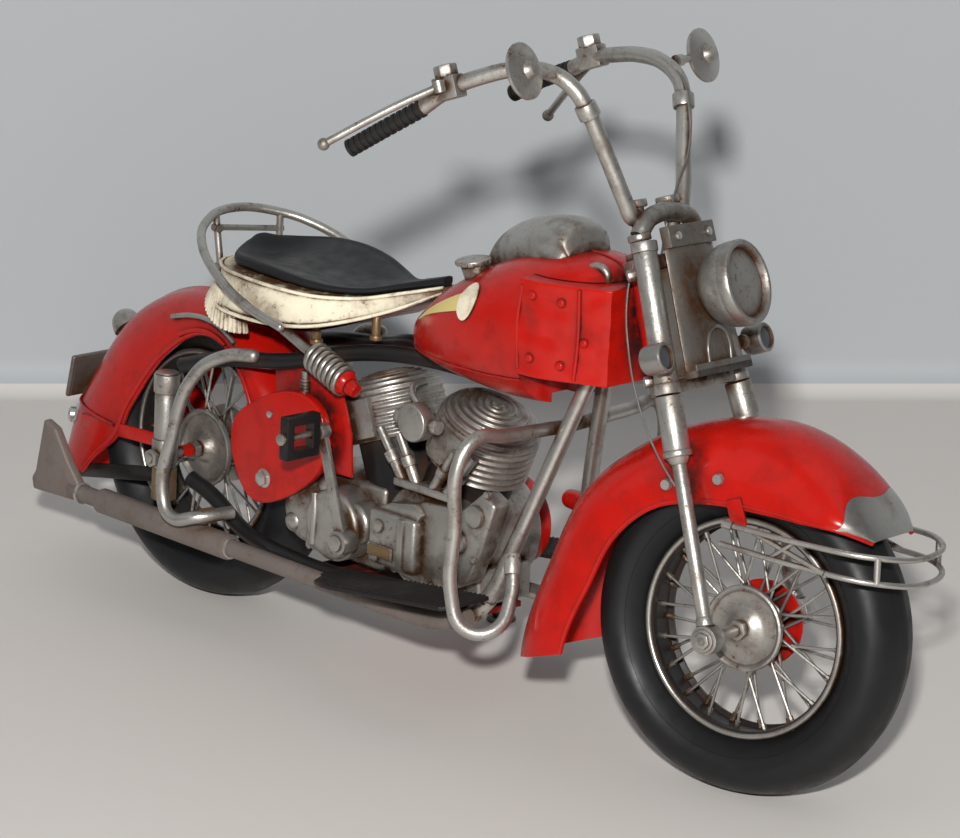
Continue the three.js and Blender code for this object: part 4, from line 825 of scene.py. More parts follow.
class MOTORCYCLE_OT_handlebar(bpy.types.Operator):
    """High bars on a bent crown tube, with grips, clamps, levers, mirrors and cables"""

    bl_idname = "motorcycle.handlebar"
    bl_label = "Handlebar"

    def execute(self, context):
        bars, clamps, grips, crown = bmesh.new(), bmesh.new(), bmesh.new(), bmesh.new()
        spread = leg_at(1, COVER_TOP).y
        tube(crown, [(11, -spread, 120.9), (12, -spread + 2, 123.6), (12, -spread + 7, 126),
                     (12, spread - 7, 126), (12, spread - 2, 123.6), (11, spread, 120.9)], 2.9)
        for side in (-1, 1):
            rod(crown, (11, side * spread, 119.4), (11, side * spread, 121.6), 3.6)
            path = bar_path(side)
            tube(bars, path[: BAR_CLAMP + 2], 2.5)
            rod(clamps, (8, side * 9.5, 122), (8, side * 9.5, 131.4), 2.4)
            rod(clamps, (8, side * 9.5, 129.6), (8, side * 9.5, 132), 3.7)
            collar = path[BAR_COLLAR]
            direction = (path[BAR_COLLAR + 1] - path[BAR_COLLAR - 1]).normalized()
            rod(clamps, collar - direction * 2.3, collar + direction * 2.3, 3.4)
            spot = path[BAR_CLAMP]
            box(clamps, spot + V((-4, -3, -3)), spot + V((4, 3, 4)))
            rod(clamps, spot + V((0, 0, 3.6)), spot + V((0, 0, 7.4)), 3.7, sides=6)
            self.grip(grips, path)
        soften(clamps, 0.45)
        soften(crown, 0.4)
        on_steering(bars, "handlebar_tubes", "silver", ("handlebar",))
        on_steering(clamps, "handlebar_clamps", "silver")
        on_steering(crown, "handlebar_crown", "pewter")
        on_steering(grips, "handlebar_grips", "ribs", (), 50)
        for side, word in SIDES:
            self.lever(side, word)
            self.mirror(side, word)
        self.cables()
        return {"FINISHED"}

    def grip(self, bm, path):
        start, middle, end = path[BAR_CLAMP + 1], path[BAR_CLAMP + 2], path[BAR_CLAMP + 3]
        tube(bm, [start, middle, end], 2.4)
        ribs = 13
        for i in range(ribs):
            share = i / (ribs - 1)
            near = start.lerp(middle, share * 2) if share < 0.5 else middle.lerp(end, share * 2 - 1)
            along = (end - start).normalized()
            rod(bm, near - along * 0.55, near + along * 0.55, 2.8, sides=24)

    def lever(self, side, word):
        root = bar_path(side)[BAR_CLAMP] + V((0, side * 5.3, 1))
        hang = 13 if side > 0 else 9
        reach = [root + V((-34 * s, side * 16 * s, -hang * s**1.2)) for s in (0, 0.33, 0.7, 1)]
        bm = bmesh.new()
        tube(bm, reach, 1.2)
        ball(bm, reach[-1], 1.9)
        rod(bm, root + V((0, 0, -1.8)), root + V((0, 0, 1.8)), 1.9)
        keep(bm, f"hand_lever_{word}_blade", STEERING, f"hand_lever_{word}", "silver",
             (f"hand_lever_{word}",))

    def mirror(self, side, word):
        elbow = bar_path(side)[BAR_ELBOW]
        glass = V((6, side * 52, 174))
        start = V((elbow.x + 2, side * (abs(elbow.y) + 3.7), elbow.z))
        bm = bmesh.new()
        rod(bm, start, glass, 1.2)
        rod(bm, start, start.lerp(glass, 0.2), 1.9)
        turned(bm, [(0, -0.3), (6.8, -0.3), (7.3, -0.6), (8.2, -0.5), (8.6, 0), (8.6, 0.9), (7.6, 1.3),
                    (5, 1.8), (3, 2.3), (2.2, 3.4), (2, 4.4), (0, 4.4)],
               facing_ahead(glass), 56)
        on_steering(bm, f"mirror_{word}_dish", "silver", (f"mirror_{word}",), 36)

    def cables(self):
        path = bar_path(1)
        bm = bmesh.new()
        route = [path[i] + V((2.9, -2.2, -1.5)) for i in (8, 6, 5, 4, 3)] + [V((12, 12, 136)),
            V((9, 5, 124)), V((4.6, 5.2, UPPER_YOKE + 2.4))]
        tube(bm, route, 0.42, resolution=3)
        route = [V((7.6, -14.6, 116)), V((3, -17, 104)), V((0.5, -18.6, 88)), V((1, -20, 70)),
                 V((4, -20.6, 56)), V((7, -19.4, 46))]
        tube(bm, route, 0.34, resolution=3)
        on_steering(bm, "bar_cables", "wire")


# ---- Fenders -----------------------------------------------------------------------------------------
OVER_TYRE = 52 + 1 + SHEET
# The front fender narrows to a round tip between these angles, by this share
TIP_STARTS, TIP_ENDS, TIP_ROUND = 52, 74, 0.86
# Angle from upright, ridge radius and edge radius; ahead is positive
FRONT_FENDER = (
    (-87, OVER_TYRE + 26, 56), (-64, OVER_TYRE + 16, 47), (-40, OVER_TYRE + 13.5, 45),
    (-20, OVER_TYRE + 10.5, 43),
    (6, OVER_TYRE + 9, 39), (30, OVER_TYRE + 9.5, 39), (50, OVER_TYRE + 7.5, 44),
    (62, OVER_TYRE + 4.8, 51), (71, OVER_TYRE + 3.4, 56),
)
REAR_FENDER = (
    (-110, OVER_TYRE + 22, 50), (-95, OVER_TYRE + 15, 32), (-71, OVER_TYRE + 4.5, 27.5),
    (-42, OVER_TYRE + 1.2, 27.5),
    (-12, OVER_TYRE, 34), (20, OVER_TYRE, 46), (52, OVER_TYRE, 44), (72, OVER_TYRE + 1, 40),
)


def fender_point(stations, half, turn, across):
    """A point of a fender's sheet: turn in degrees round the wheel, across from -1 to 1."""
    first, last = stations[0][0], stations[-1][0]
    share = (turn - first) / (last - first)
    width = half * (1 - 0.1 * math.sin(math.pi * share))
    high = smooth_value([(s[0], s[1]) for s in stations], turn)
    low = min(smooth_value([(s[0], s[2]) for s in stations], turn), high - 2)
    lean = across * math.pi / 2 * 0.999
    if stations is FRONT_FENDER:
        width *= math.sqrt(1 - (TIP_ROUND * smooth_step(turn, TIP_STARTS, TIP_ENDS)) ** 2)
    y = width * math.copysign(abs(math.sin(lean)) ** 0.85, lean)
    radius = low + (high - low) * math.cos(lean) ** 0.8
    return V((radius * math.sin(math.radians(turn)), y, radius * math.cos(math.radians(turn))))


def fender_sheet(stations, half, ridge=0.0):
    bm = bmesh.new()
    first, last = stations[0][0], stations[-1][0]

    def point(u, t):
        """The sheet, with a fine raised line along its middle where it has one."""
        turn = first + (last - first) * t
        across = u * 2 - 1
        place = fender_point(stations, half, turn, across)
        return place + place.normalized() * ridge * (math.exp(-((across / 0.03) ** 2)) - 0.7)

    skin(bm, point, 60, 84, closed=False)
    bmesh.ops.recalc_face_normals(bm, faces=bm.faces)
    middle = max(bm.faces, key=lambda f: f.calc_center_median().z)
    if middle.normal.z < 0:
        bmesh.ops.reverse_faces(bm, faces=bm.faces)
    bmesh.ops.solidify(bm, geom=bm.faces[:], thickness=SHEET)
    return bm


def edge_bead(bm, stations, half, radius, across):
    """A rolled edge along one side of a fender."""
    start, end = stations[0][0], stations[-1][0]
    tube(bm, [fender_point(stations, half, start + (end - start) * i / 24, across) for i in range(25)],
         radius, 2, 3)


class MOTORCYCLE_OT_fenders(bpy.types.Operator):
    """Deep front and rear fenders with rolled edges, rivets, bare tip and the bumper rails"""

    bl_idname = "motorcycle.fenders"
    bl_label = "Fenders"

    def execute(self, context):
        self.front()
        self.rear()
        self.bumper()
        return {"FINISHED"}

    def front(self):
        place = STEERING @ Matrix.Translation((FORK_OFFSET, 0, 0))
        half = FENDER_HALF + 1.5
        bm = fender_sheet(FRONT_FENDER, half)
        for side in (-1, 1):
            edge_bead(bm, FRONT_FENDER, half - 0.5, 0.75, side * 0.985)
        keep(bm, "front_fender_sheet", place, "steering", "red", ("front_fender",), 50)
        tip = bmesh.new()
        first, last = 60.5, 71.0

        def point(u, t):
            """The bare front end, with a wavy back edge where the paint stops."""
            across = u * 2 - 1
            wave = 1.4 * math.cos(across * 8) + 5 * across * across - 3.2
            turn = first + wave + (last + 0.15 - first - wave) * t
            spot = fender_point(FRONT_FENDER, half, min(turn, last), across * 0.99)
            return spot + V((spot.x, across * 12, spot.z)).normalized() * 0.16

        skin(tip, point, 48, 16, closed=False)
        bmesh.ops.recalc_face_normals(tip, faces=tip.faces)
        if max(tip.faces, key=lambda f: f.calc_center_median().z).normal.z < 0:
            bmesh.ops.reverse_faces(tip, faces=tip.faces)
        bmesh.ops.solidify(tip, geom=tip.faces[:], thickness=0.3)
        keep(tip, "front_fender_bare_tip", place, "steering", "bright", (), 50)
        rivets = bmesh.new()
        for side in (-1, 1):
            for x, z in ((-8, 47), (10, 45.5)):
                turn = math.degrees(math.atan2(x, z))
                reach = math.hypot(x, z)
                spot = self.flank(FRONT_FENDER, half, turn, reach, side)
                rod(rivets, spot, spot + V((0, side * 1.3, 0)), 1.9, 1.5, 20)
        keep(rivets, "front_fender_rivets", place, "steering", "rivet")
        tabs = bmesh.new()
        for side in (-1, 1):
            spot = self.flank(FRONT_FENDER, half, 21, 38.5, side)
            box(tabs, spot + V((-2.6, -0.6, -6)), spot + V((2.6, 0.6, 2.5)))
        soften(tabs, 0.4)
        keep(tabs, "front_fender_tabs", place, "steering", "red")

    def flank(self, stations, half, turn, reach, side):
        """The point of a fender's side at a given reach from the axle."""
        spots = (fender_point(stations, half, turn, side * i / 200) for i in range(80, 200))
        return min(spots, key=lambda p: abs(math.hypot(p.x, p.z) - reach))

    def rear(self):
        place = BIKE @ Matrix.Translation((REAR_X, 0, AXLE_HIGH))
        bm = fender_sheet(REAR_FENDER, FENDER_HALF, 0.7)
        for side in (-1, 1):
            edge_bead(bm, REAR_FENDER, FENDER_HALF - 0.4, 0.8, side * 0.985)
        keep(bm, "rear_fender_sheet", place, "frame", "red", ("rear_fender",), 50)
        trims, ridges = bmesh.new(), bmesh.new()
        for side in (-1, 1):
            strip = [fender_point(REAR_FENDER, FENDER_HALF, -9 + 40 * i / 8,
                side * (0.68 + 0.007 * i)) for i in range(9)]
            tube(trims, [p + V((0, side * 0.3, 0.4)) for p in strip], 0.9)
            strip = [fender_point(REAR_FENDER, FENDER_HALF, -2 + 30 * i / 8,
                side * (0.93 + 0.003 * i)) for i in range(9)]
            tube(ridges, strip, 0.8)
        crease = [fender_point(REAR_FENDER, FENDER_HALF, -86, -0.96 + 1.92 * i / 24) for i in range(25)]
        tube(ridges, crease, 0.5, 2)
        keep(trims, "rear_fender_trims", place, "frame", "silver")
        keep(ridges, "rear_fender_ridges", place, "frame", "red")

    def bumper(self):
        bm = bmesh.new()
        spread = FENDER_HALF + 4.5
        back_up, front_up = V((FORK_OFFSET + 13, spread, 32)), V((FORK_OFFSET + 63, spread - 1, 11.5))
        back_low, front_low = V((FORK_OFFSET + 9, spread, 27)), V((FORK_OFFSET + 61, spread - 1, 4))
        flip = Matrix.Diagonal((1, -1, 1))
        for back, front in ((back_up, front_up), (back_low, front_low)):
            middle = V(((back.x + front.x) / 2, back.y, (back.z + front.z) / 2))
            bend = back.lerp(front, 0.88)
            bend.y = front.y - 4
            near = [back, middle, bend]
            nose = V((front.x - 0.5, 0, front.z - 1))
            tube(bm, [*near, nose, *[flip @ p for p in reversed(near)]], 0.9)
        for side in (-1, 1):

            def at(back, front, share, width=spread):
                spot = back.lerp(front, share)
                return V((spot.x, side * width, spot.z))

            rod(bm, at(back_up, front_up, 0.14), at(back_low, front_low, 0.62), 0.85)
            rod(bm, at(back_low, front_low, 0.3), at(back_up, front_up, 0.42), 0.85)
            rod(bm, at(back_up, front_up, 0.88, spread - 5), at(back_low, front_low, 0.88, spread - 5), 1.0)
            rod(bm, at(back_up, front_up, -0.03), at(back_up, front_up, 0.03), 1.3)
        on_steering(bm, "bumper_rail_wires", "silver", ("bumper_rail",))


# ---- Frame tubes and neck ----------------------------------------------------------------------------
def both_sides(points):
    return points, [V((p[0], -p[1], p[2])) for p in points]


class MOTORCYCLE_OT_frame(bpy.types.Operator):
    """Black upper and lower tubes, silver downtubes with brazed feet, and the folded cover round the neck"""

    bl_idname = "motorcycle.frame"
    bl_label = "Frame"

    def execute(self, context):
        high, low = bmesh.new(), bmesh.new()
        line = [(REAR_X + 8, 24, AXLE_HIGH + 33), (REAR_X + 26, 23.4, AXLE_HIGH + 39),
                (REAR_X + 56, 20.5, AXLE_HIGH + 44.5),
                (-40, 11.5, 103), (-20, 5, TUBE_TOP), (8, 2.2, TUBE_TOP),
                (26, 2.2, TUBE_TOP + 1.4), (COVER_BACK - 5, 2.2, TUBE_TOP + 8)]
        for points in both_sides(line):
            tube(high, points, FRAME_TUBE)
        on_frame(high, "upper_tubes", "black", ("upper_frame_tubes",))
        line = [(REAR_X + 7, 18.4, AXLE_HIGH - 7), (REAR_X + 17, 17.2, AXLE_HIGH - 11),
                (REAR_X + 32, RAIL_SPREAD, 32),
                (REAR_X + 48, RAIL_SPREAD, RAIL_HIGH), (-20, RAIL_SPREAD, RAIL_HIGH),
                (2, RAIL_SPREAD, RAIL_HIGH)]
        for points in both_sides(line):
            tube(low, points, FRAME_TUBE)
        for x in (-50, -4):
            rod(low, (x, -RAIL_SPREAD, RAIL_HIGH), (x, RAIL_SPREAD, RAIL_HIGH), 2)
        pin, pivot = V((0, math.cos(STAND_TILT), math.sin(STAND_TILT))), STAND_PIVOT
        rod(low, (-38, RAIL_SPREAD, 28), pivot - pin * 4.6, 2.2)
        rod(low, pivot - pin * 6, pivot - pin * 2, 2.2)
        on_frame(low, "lower_tubes", "black", ("lower_frame_tubes",))
        for side, word in SIDES:
            self.downtube(side, word)
        self.neck()
        return {"FINISHED"}

    def downtube(self, side, word):
        path = [(COVER_BACK + 11, 3.1, COVER_LOW - 1.1), (42, 11, 78), (36, 16, 57), (31, 19.6, 42),
                (22, 21.4, 32), (4, 21.8, 29)]
        path = [V((x, side * y, z)) for x, y, z in path]
        bm = bmesh.new()
        tube(bm, path, 2.6)
        rod(bm, (5, side * 21.8, 29.2), (1.6, side * 21.8, 28.9), 2.5, sides=6)
        on_frame(bm, f"downtube_{word}_pipe", "silver", (f"downtube_{word}",))
        brazing = bmesh.new()
        tube(brazing, [path[3] + V((-0.5, 0, -1.6)), path[4] + V((2.6, 0, 1.6)),
                       path[4] + V((-2.6, 0, -0.8))], 2.85, resolution=4)
        on_frame(brazing, f"downtube_{word}_brazing", "rusty")

    def wall(self, share):
        """The plan of the folded sheet: x and half-width along one side, from the tank forward."""
        fold = ((0, 25.4), (0.3, 24.2), (0.66, 19.2), (0.94, 15.6), (1, 14.4))
        return COVER_BACK + (COVER_FRONT - COVER_BACK) * share, smooth_value(fold, share)

    def neck(self):
        bm = bmesh.new()

        def point(u, t):
            """Up one side, over the front and back along the other, with shallow dents."""
            side = -1 if u < 0.5 else 1
            share = min(1.0, 2.5 * min(u, 1 - u))
            x, half = self.wall(share)
            across = half if share < 1 else half * (0.5 - min(u, 1 - u)) / 0.1
            high = COVER_LOW + (COVER_HIGH - COVER_LOW) * t
            dent = noise.noise(V((x * 0.16, side * 3, high * 0.13))) * 0.9 * math.sin(math.pi * t)
            return V((x, side * (across + dent), high))

        skin(bm, point, 120, 28, closed=False)
        for level in (COVER_LOW, COVER_HIGH):
            rim = [v for v in bm.verts if abs(v.co.z - level) < 0.01]
            rim.sort(key=lambda v: math.atan2(v.co.y, v.co.x - COVER_BACK - 9))
            bm.faces.new(rim)
        bmesh.ops.recalc_face_normals(bm, faces=bm.faces)
        soften(bm, 0.5, 2, 60)
        rod(bm, on_steering_axis(77.6), on_steering_axis(110), 5.2, sides=32)
        on_frame(bm, "neck_sheet", "red", ("neck_cover",))
        marks = bmesh.new()
        for side in (-1, 1):
            for x, z in ((5, 25.5), (14, 24.5), (5, 6), (14.5, 5), (21, 13)):
                spot = V((COVER_BACK + x, side * self.wall(x / 28)[1], COVER_LOW + z))
                rod(marks, spot, spot + V((0.2, side * 1.0, 0)), 1.7, 1.0, 20)
            fold = V((COVER_BACK + 18.5, side * (self.wall(0.66)[1] - 0.1), COVER_LOW + 1))
            tube(marks, [fold, fold + V((0.9, 0, 12)), fold + V((0.4, 0, COVER_HIGH - COVER_LOW - 2))], 0.6)
            lip = V((COVER_BACK + 0.4, side * 25.1, COVER_LOW + 2))
            tube(marks, [lip, lip + V((-0.8, side * 0.3, 13)),
                         lip + V((0.4, 0, COVER_HIGH - COVER_LOW - 4))], 0.6)
        soften(marks, 0.3)
        on_frame(marks, "neck_bosses", "red")
        hook = bmesh.new()
        start = V((COVER_BACK + 12, -9, COVER_HIGH))
        tube(hook, [start + V((0, 0, -1)), start + V((0.4, 0.4, 2.4)), start + V((3, 1, 4.2)),
                    start + V((6.4, 1.6, 3)), start + V((7.2, 1.8, -1))], 1.3)
        on_frame(hook, "neck_hook", "silver")


# ---- Tank --------------------------------------------------------------------------------------------
TANK_TAIL, TANK_NOSE = -24.0, COVER_FRONT - 6
TANK_HALF = 26.0
# Share of the length, half-width share, floor, ceiling
TANK = (
    (0, 0.1, 111.6, 115.5), (0.03, 0.28, 109, 118.4), (0.1, 0.5, 106.4, 123.6), (0.25, 0.76, 104.6, 134),
    (0.45, 0.94, 103.4, 144),
    (0.62, 1, 103.2, 150), (0.8, 0.97, 105.5, 152.5), (0.93, 0.72, 114, 151.5), (0.985, 0.4, 126, 148.5),
    (1, 0.15, 133, 144),
)


def tank_point(u, share, grow=0.0):
    half = smooth_value([(s[0], s[1]) for s in TANK], share) * TANK_HALF
    low = smooth_value([(s[0], s[2]) for s in TANK], share)
    high = smooth_value([(s[0], s[3]) for s in TANK], share)
    turn = u * math.tau
    height = (power(math.sin(turn), 2.5) + 1) / 2
    across = power(math.cos(turn), 2.5)
    spot = V((TANK_TAIL + (TANK_NOSE - TANK_TAIL) * share, half * across, low + (high - low) * height))
    return spot + V((0, across, power(math.sin(turn), 2.5))).normalized() * grow


class MOTORCYCLE_OT_tank(bpy.types.Operator):
    """Teardrop tank cut out round the neck, with its dash, filler cap and plain side badges"""

    bl_idname = "motorcycle.tank"
    bl_label = "Tank"

    def execute(self, context):
        bm = bmesh.new()
        skin(bm, lambda u, t: tank_point(u, (1 - math.cos(math.pi * t)) / 2), 80, 64)
        bm = carve(
            bm,
            ((COVER_BACK - GAP, -COVER_HALF - GAP - 9, COVER_LOW - 20),
             (COVER_FRONT + 30, COVER_HALF + GAP + 9, COVER_HIGH + GAP)),
            ((TANK_TAIL - 10, -8.5, 90), (60, 8.5, TUBE_TOP + 3)),
        )
        on_frame(bm, "tank_shell", "red", ("fuel_tank",), 40)
        seam = bmesh.new()
        for side in (-1, 1):
            line = []
            for i in range(21):
                share = 0.03 + 0.72 * i / 20
                u = -0.085 if side > 0 else 0.585
                line.append(tank_point(u, share, 0.1))
            tube(seam, line, 0.42, 3, 3)
        tube(seam, [tank_point(0.25, 0.74 + 0.24 * i / 9, 0.05) for i in range(10)], 0.5, 3, 3)
        on_frame(seam, "tank_seams", "red")
        for side, word in SIDES:
            self.badge(side, word)
        self.dash()
        self.cap()
        return {"FINISHED"}

    def badge(self, side, word):
        """A plain oval medallion with a tapering bar behind it."""
        middle = 0.5 if side < 0 else 0.0
        flip = 1 if side < 0 else -1

        def patch(outline, grow):
            bm = bmesh.new()

            def point(u, t):
                share, turn = outline(u, t)
                return tank_point(middle + flip * turn, share, grow)

            skin(bm, point, 28, 12, closed=False)
            bmesh.ops.recalc_face_normals(bm, faces=bm.faces)
            outermost = max(bm.faces, key=lambda f: abs(f.calc_center_median().y))
            if outermost.normal.y * side < 0:
                bmesh.ops.reverse_faces(bm, faces=bm.faces)
            bmesh.ops.solidify(bm, geom=bm.faces[:], thickness=0.3)
            return bm

        def bar(u, t):
            half = 0.030 * smooth_step(u, -0.5, 1.0)
            return 0.13 + 0.33 * u, -0.065 + half * (t * 2 - 1) * 0.8

        on_frame(patch(bar, 0.3), f"badge_bar_{word}", "badge")

        def disc(u, t):
            turn = u * math.tau
            return 0.475 + 0.052 * t * math.cos(turn), -0.065 - 0.047 * t * math.sin(turn)

        on_frame(patch(disc, 0.55), f"badge_disc_{word}", "cream")

    def dash(self):
        stations = ((4, 3, 130, 142), (9, 5, 132, 149.5), (17, 7.6, 134, 155.6), (26, 10, 138, 159.4),
                    (35, 11.8, 140, 161.4),
                    (41, 12.2, 140, 161.4), (44.6, 11.8, 140, 159.6), (46.4, 10.6, 140, 155.5))
        bm = bmesh.new()

        def point(u, t):
            x = 4 + 42.4 * math.sin(math.pi / 2 * t)
            half, low, high = (smooth_value([(s[0], s[k]) for s in stations], x) for k in (1, 2, 3))
            turn = u * math.tau
            height = (power(math.sin(turn), 2.3) + 1) / 2
            pinch = 1 - 0.12 * math.exp(-(((height - 0.66) / 0.09) ** 2)) * smooth_step(x, 30, 44)
            return V((x, half * pinch * power(math.cos(turn), 2.3), low + (high - low) * height))

        skin(bm, point, 72, 50)
        on_frame(bm, "dash_cowl", "silver", ("dash",), 50)

    def cap(self):
        seat, top = V((10, -11, 138)), V((8.6, -12.4, 144.4))
        axis = (top - V((10, -11, 130))).normalized()
        lid = top - axis * 2
        bm = bmesh.new()
        rod(bm, seat, lid, 4.2)
        rod(bm, lid, top - axis * 0.5, 5.6)
        rod(bm, top - axis * 0.5, top, 5.2, 2.4)
        for i in range(16):
            turn = i * math.tau / 16
            spin = Matrix.Rotation(turn, 3, axis) @ axis.orthogonal().normalized() * 5.5
            rod(bm, lid + spin, top - axis * 0.7 + spin, 0.35, sides=6)
        soften(bm, 0.3)
        on_frame(bm, "filler_lid", "silver", ("filler_cap",))


# ---- Seat --------------------------------------------------------------------------------------------
# x, half-width share, pan floor, pan ceiling
SEAT_BACK, SEAT_NOSE, SEAT_HALF, SEAT_TAPER = -110, -14, 29.0, 0.11
# Length along the bike, half-width share, underside, pan's top
SEAT = (
    (-110, 0.24, 111.6, 120.6), (-106, 0.56, 110.8, 121), (-96, 0.86, 110.4, 121.4),
    (-82, 1, 110.8, 121.6), (-66, 0.97, 111.2, 121),
    (-53, 0.8, 112.4, 120.4), (-40, 0.52, 115.6, 121.4), (-28, 0.28, 120, 124.6), (-14, 0.09, 126.6, 128.6),
)


def seat_station(x):
    return [smooth_value([(s[0], s[k]) for s in SEAT], x) for k in (1, 2, 3)]


class MOTORCYCLE_OT_seat(bpy.types.Operator):
    """Cream pan with piping, dished black cushion, pleated fringe, posts, spring strut and grab rail"""

    bl_idname = "motorcycle.seat"
    bl_label = "Seat"

    def execute(self, context):
        self.pan()
        self.cushion()
        self.fringe(context.scene.motorcycle_sizes.fringe_strips)
        self.supports(context.scene.motorcycle_sizes.spring_turns)
        self.rail()
        return {"FINISHED"}

    def drop(self, x):
        """How far the skirt hangs below the pan, most in the middle of its length."""
        return smooth_step(x, -110, -92) * (1 - smooth_step(x, -60, -16)) * 1.6

    def pan(self):
        bm = bmesh.new()

        def point(u, t):
            x = SEAT_BACK + (SEAT_NOSE - SEAT_BACK) * (0.5 - 0.5 * math.cos(math.pi * t)) ** 0.9
            width, low, high = seat_station(x)
            turn = u * math.tau
            height = (power(math.sin(turn), 9) + 1) / 2
            half = width * SEAT_HALF * (1 - SEAT_TAPER * height) - 0.8 * math.sin(math.pi * height)
            return V((x, half * power(math.cos(turn), 9),
                      low - 1.4 * self.drop(x) + (high - low + 1.4 * self.drop(x)) * height))

        skin(bm, point, 96, 60)
        on_frame(bm, "seat_skirt", "cream", ("seat_pan",), 50)
        piping = bmesh.new()
        for level in (0.03, 0.97):
            line = []
            for side, steps in ((-1, range(0, 25)), (1, range(24, -1, -1))):
                for i in steps:
                    x = SEAT_NOSE - 94.5 * (i / 24) ** 0.9
                    width, low, high = seat_station(x)
                    low -= 1.4 * self.drop(x)
                    line.append(V((x, side * max(0.4, width * SEAT_HALF * (1 - SEAT_TAPER * level)),
                                   low + (high - low) * level)))
            tube(piping, line, 0.62, 3, 3)
        on_frame(piping, "seat_piping", "cream")
        under = bmesh.new()

        def below(u, t):
            x = -100 + 76 * t
            width, low, _ = seat_station(x)
            return V((x, (u * 2 - 1) * width * 27.6, low - 2.4 * self.drop(x)))

        skin(under, below, 16, 24, closed=False)
        on_frame(under, "seat_base", "red")

    def cushion(self):
        bm = bmesh.new()

        def point(u, t):
            x = -103.4 + 89 * (0.5 - 0.5 * math.cos(math.pi * t)) ** 0.9
            width, _, high = seat_station(x)
            half = max(1.0, (width * SEAT_HALF * 0.865 - 0.4) * smooth_step(x, -104.6, -88) ** 0.3)
            turn = u * math.tau
            across = power(math.cos(turn), 2.6)
            height = (power(math.sin(turn), 2.6) + 1) / 2
            lift = 3.4 + 3.8 * (1 - smooth_step(x, -80, -38))
            dish = 0.95 * lift * (1 - across * across) * smooth_step(half, 4, 18) * height
            edge = 0.5 * math.exp(-(((abs(across) - 0.93) / 0.05) ** 2)) * height
            return V((x, half * across, high + 0.2 + lift * height - dish * 0.85 + edge))

        skin(bm, point, 96, 70)
        on_frame(bm, "seat_top", "leather", ("seat_cushion",), 60)

    def fringe(self, strips):
        bm = bmesh.new()

        def point(u, t):
            turn = (u - 0.5) * math.radians(216)
            pleat = 0.7 * abs(math.sin(u * math.pi * strips)) - 0.35
            flank = math.sin(turn) ** 2
            reach = 20.6 + 6.4 * t + pleat * (0.4 + 0.6 * t)
            x = -90.5 - reach * math.cos(turn) + 3 * t * flank
            y = (24.6 + 2.8 * t + pleat * (0.4 + 0.6 * t)) * math.sin(turn)
            ragged = abs(math.sin(u * math.pi * strips * 2.7))
            return V((x, y, 117.5 - 3.5 * flank - (7 + 4.4 * flank) * t - 0.5 * t * ragged))

        skin(bm, point, strips * 8, 8, closed=False)
        bmesh.ops.solidify(bm, geom=bm.faces[:], thickness=0.7)
        on_frame(bm, "seat_fringe", "cream", (), 60)

    def supports(self, turns):
        for name, low, high in (
            ("seat_post_rear", (-56, -17.2, 103.4), (-56, -17.2, 112)),
            ("seat_post_front", (-37, -9, 107.6), (-37, -9, 115.6)),
        ):
            bm = bmesh.new()
            rod(bm, low, high, 1.5)
            rod(bm, low, V(low) + V((0, 0, 1.6)), 2.1)
            soften(bm, 0.25)
            on_frame(bm, name + "_pin", "brown", (name,))
        stub = bmesh.new()
        for i in range(7):
            z = 84.6 + 1.1 * i
            rod(stub, (-57, -20.4, z), (-57, -20.4, z + 0.7), 1.6)
        rod(stub, (-57, -20.4, 84.2), (-57, -20.4, 94.6), 1.25)
        on_frame(stub, "seat_stub", "bright")
        top, low = V((-68, -25.4, 109.6)), V((-28, -25.4, 95))
        at = lambda share: top.lerp(low, share)
        strut, coil, cup = bmesh.new(), bmesh.new(), bmesh.new()
        rod(strut, top, at(0.95), 1.6)
        rod(strut, at(0.9), at(1.0), 2.4, 2.0)
        on_frame(strut, "seat_strut", "silver", ("seat_spring",))
        axis = (low - top).normalized()
        side = V((0, 1, 0))
        over = axis.cross(side)
        line = []
        for i in range(turns * 12 + 1):
            turn = i / 12 * math.tau
            spot = at(0.5 + 0.38 * i / (turns * 12))
            line.append(spot + (side * math.cos(turn) + over * math.sin(turn)) * 4.1)
        tube(coil, line, 1.05, 2, 4)
        on_frame(coil, "seat_coil", "bright", (), 70)
        rod(cup, at(0.875), at(0.93), 4.6, 3.2)
        rod(cup, at(0.93), at(1.01), 2.8, 2.2)
        soften(cup, 0.3)
        on_frame(cup, "seat_spring_cup", "red")

    def rail(self):
        half = [(-58, 31.5, 110.5), (-73, 32.6, 114.4), (-89, 31.4, 121), (-103, 26, 127.5),
                (-113.5, 15.5, 132), (-118.5, 0, 134)]
        hoop = [V((x, -y, z)) for x, y, z in half] + [V(p) for p in half[-2::-1]]
        bm = bmesh.new()
        tube(bm, hoop, HOOP_RADIUS)
        x, y, z = half[0]
        for side in (-1, 1):
            ball(bm, (x, side * y, z), HOOP_RADIUS)
        rod(bm, (-113, -8, 109.5), (-117.2, -8, 133.4), 1.2)
        rod(bm, (-113.4, 17, 105), (-112.6, 16.6, 131.6), 1.2)
        rod(bm, (-116.4, -9.5, 129), (-112.7, 18, 126), 1)
        for z in (116, 128.6):
            x = -113 - 4.2 * (z - 109.5) / 23.9
            rod(bm, (x - 1.6, -8, z), (x + 1.6, -8, z), 1.5, sides=6)
        on_frame(bm, "grab_hoop", "silver", ("grab_rail",))


# ---- Rear end ----------------------------------------------------------------------------------------
def behind_fender(turn, beyond):
    reach = smooth_value([(s[0], s[1]) for s in REAR_FENDER], turn) + beyond
    return V((REAR_X + reach * math.sin(math.radians(turn)), 0,
              AXLE_HIGH + reach * math.cos(math.radians(turn))))


